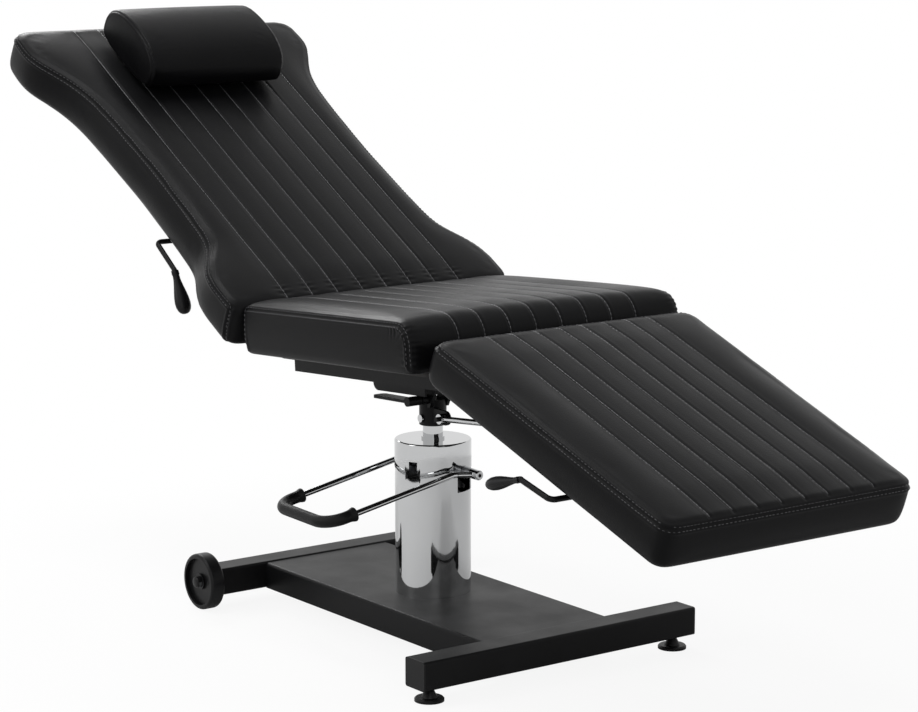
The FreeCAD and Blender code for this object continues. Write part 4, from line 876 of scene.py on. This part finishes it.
# Release grips: drops with a collar at the neck and a round end, their profile a share of the size
releaseGrip = {
    "halfWidth": 0.0145, "halfHeight": 0.0105,
    "profile": (
        (0.0, 0.47), (0.09, 0.50), (0.11, 0.43), (0.22, 0.47), (0.36, 0.62), (0.50, 0.80), (0.62, 0.93),
        (0.74, 1.0), (0.84, 0.96), (0.91, 0.83), (0.96, 0.64), (0.99, 0.38), (1.0, 0.12),
    ),
}


def makeReleaseGrip(name, look, node, rod, body):
    # The drop lies along the CAD grip, its neck towards the rod
    points = readPoints(nodes[node])
    middle = points.mean(axis=0)
    along = np.linalg.eigh(np.cov((points - middle).T))[1][:, 2]
    if (readPoints(nodes[rod]).mean(axis=0) - middle) @ along > 0:
        along = -along
    reach = (points - middle) @ along
    length = reach.max() - reach.min()
    place = placeAlong(middle + along * reach.min(), along, (0, 1, 0))
    place = place @ Matrix.Diagonal((look["halfWidth"], look["halfHeight"], length, 1))
    made = turnedPiece(name, look["profile"], place, "black_plastic", body)
    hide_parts(node)


makeReleaseGrip("backReleaseDrop", releaseGrip, "back_release_grip", "back_release_lever", "back_release")
makeReleaseGrip("legReleaseDrop", releaseGrip, "leg_release_grip", "leg_release_lever", "leg_release")

# Foot lever: flared lips at the ends of its foam sleeve, and a socket screw in the foot end of its shaft
footLever = {
    "yaw": -2.7, "slope": 12.0,
    "lip": (
        (-0.010, 0.0100), (-0.006, 0.0104), (-0.002, 0.0116), (0.0008, 0.0121), (0.0022, 0.0114),
        (0.0024, 0.0085),
    ),
    "screw": ((-0.001, 0.0072), (0.0022, 0.0072), (0.0030, 0.0064), (0.0030, 0.0040)),
    "socket": ((0.0010, 0.0034), (0.0033, 0.0034)),
}
leverTurn = Matrix.Rotation(math.radians(footLever["yaw"]), 3, "Z")
leverSlope = math.radians(footLever["slope"])
armLine = leverTurn @ Vector((0, math.cos(leverSlope), math.sin(leverSlope)))
for side, name in ((-1, "sleeveLipHead"), (1, "sleeveLipFoot")):
    spot = endOf(nodes["lever_grip"], armLine, side)
    turnedPiece(name, footLever["lip"], placeAlong(spot, armLine, (1, 0, 0)), "grip_rubber", "foot_lever")
shaftLine = leverTurn @ Vector((1, 0, 0))
shaftEnd = placeAlong(endOf(nodes["pump_lever"], shaftLine), shaftLine, (0, 1, 0))
turnedPiece("shaftScrew", footLever["screw"], shaftEnd, "chrome", "foot_lever")
turnedPiece("shaftSocket", footLever["socket"], shaftEnd, "black_powder_coat", "foot_lever", 6)

# Wheel axles end in black caps
axleCap = ((-0.006, 0.0095), (0.0006, 0.0095), (0.0022, 0.0080), (0.0030, 0.0050), (0.0032, 0.0015))
for side, name in ((-1, "axleCapNear"), (1, "axleCapFar")):
    spot = endOf(nodes["wheel_axles"], (0, side, 0))
    turnedPiece(name, axleCap, placeAlong(spot, (0, side, 0), (1, 0, 0)), "black_plastic", "base")
print("small turned pieces made")

# CAD pieces with curved faces shade smooth
for node in nodes.values():
    if not node.hide_render:
        smoothFaces(node, "cad")

# Floor, light and camera
studio = {
    "floorColour": (0.93, 0.93, 0.93), "floorRoughness": 0.9, "floorRadius": 1.45, "floorSides": 96,
    "floorShift": 0.05, "floorGlow": 0.90, "glowRange": (0.75, 1.4), "floorInChrome": 0.15, "world": 0.40,
}
lamps = (
    {"name": "keyLight", "energy": 26.0, "size": 1.3, "place": (-0.9, -2.9, 2.4), "target": (0, 0, 0.6)},
    {"name": "fillLight", "energy": 10.0, "size": 2.0, "place": (2.9, -1.5, 2.0), "target": (0.2, 0, 0.5)},
    {"name": "topLight", "energy": 22.0, "size": 0.8, "place": (-0.5, -0.5, 3.0), "target": (-0.2, 0, 0.6)},
    {"name": "rearLight", "energy": 48.0, "size": 1.4, "place": (-3.2, 0.7, 2.7), "target": (0, 0, 0.6)},
)


def emission(tree):
    return addNode(tree, "ShaderNodeEmission", Strength=1.0).outputs["Emission"]


def mixed(tree, factor, first, second):
    mix = tree.nodes.new("ShaderNodeMixShader")
    tree.links.new(factor, mix.inputs["Fac"])
    tree.links.new(first, mix.inputs[1])
    tree.links.new(second, mix.inputs[2])
    return mix.outputs["Shader"]


def computed(tree, operation, first, second):
    node = addNode(tree, "ShaderNodeMath", operation=operation)
    tree.links.new(first, node.inputs[0])
    tree.links.new(second, node.inputs[1])
    return node.outputs["Value"]


def whiteRays(tree, mirrored=1.0):
    # Rays of the eye, of mirrors and of glass, to which the background is white
    paths = tree.nodes.new("ShaderNodeLightPath")
    inMirror = addNode(tree, "ShaderNodeMath", operation="MULTIPLY")
    inMirror.inputs[1].default_value = mirrored
    tree.links.new(paths.outputs["Is Glossy Ray"], inMirror.inputs[0])
    seen = computed(tree, "MAXIMUM", paths.outputs["Is Camera Ray"], inMirror.outputs["Value"])
    return computed(tree, "MAXIMUM", seen, paths.outputs["Is Transmission Ray"])


def makeFloor():
    # A pale sheet with the chair's shadow left in, nearly white to the eye and white at its rim
    bpy.ops.mesh.primitive_circle_add(
        vertices=studio["floorSides"], radius=studio["floorRadius"], fill_type="NGON",
        location=(columnX + studio["floorShift"], 0, 0),
    )
    floor = bpy.context.object
    floor.name = "floor"
    material, tree, shader = newMaterial("paleFloor", studio["floorColour"], studio["floorRoughness"])
    coords = tree.nodes.new("ShaderNodeTexCoord")
    reach = addNode(tree, "ShaderNodeVectorMath", operation="LENGTH")
    tree.links.new(coords.outputs["Object"], reach.inputs[0])
    glow = carriedOver(tree, reach.outputs["Value"], studio["glowRange"], (studio["floorGlow"], 1.0))
    share = computed(tree, "MULTIPLY", whiteRays(tree, studio["floorInChrome"]), glow)
    white = mixed(tree, share, shader.outputs["BSDF"], emission(tree))
    tree.links.new(white, tree.nodes["Material Output"].inputs["Surface"])
    floor.data.materials.append(material)


def makeWorld():
    world = bpy.data.worlds.new("studioWorld")
    world.use_nodes = True
    tree = world.node_tree
    background = tree.nodes["Background"]
    background.inputs["Color"].default_value = (1, 1, 1, 1)
    background.inputs["Strength"].default_value = studio["world"]
    white = mixed(tree, whiteRays(tree), background.outputs["Background"], emission(tree))
    tree.links.new(white, tree.nodes["World Output"].inputs["Surface"])
    bpy.context.scene.world = world


def makeLamp(look):
    bpy.ops.object.light_add(type="AREA", location=look["place"])
    lamp = bpy.context.object
    lamp.name = look["name"]
    lamp.data.energy = look["energy"]
    lamp.data.shape = "DISK"
    lamp.data.size = look["size"]
    lamp.rotation_mode = "QUATERNION"
    lamp.rotation_quaternion = (Vector(look["target"]) - Vector(look["place"])).to_track_quat("-Z", "Y")


makeFloor()
makeWorld()
for look in lamps:
    makeLamp(look)
cameraLook = {
    "eye": (3.7244, -2.6976, 1.2880), "aim": (0.07357, 0.0, 0.47976),
    "lens": 109.804, "sensor": 36.0, "far": 60,
}
eye = Vector(cameraLook["eye"]) + Vector((columnX, 0, 0))
aim = Vector(cameraLook["aim"]) + Vector((columnX, 0, 0))
cameraData = bpy.data.cameras.new("photoCamera")
cameraData.lens = cameraLook["lens"]
cameraData.sensor_width = cameraLook["sensor"]
cameraData.sensor_fit = "HORIZONTAL"
cameraData.clip_end = cameraLook["far"]
camera = bpy.data.objects.new("photoCamera", cameraData)
bpy.context.scene.collection.objects.link(camera)
camera.location = eye
camera.rotation_mode = "QUATERNION"
camera.rotation_quaternion = (aim - eye).to_track_quat("-Z", "Y")
bpy.context.scene.camera = camera
bpy.context.scene.view_settings.view_transform = "Standard"
print("studio made")
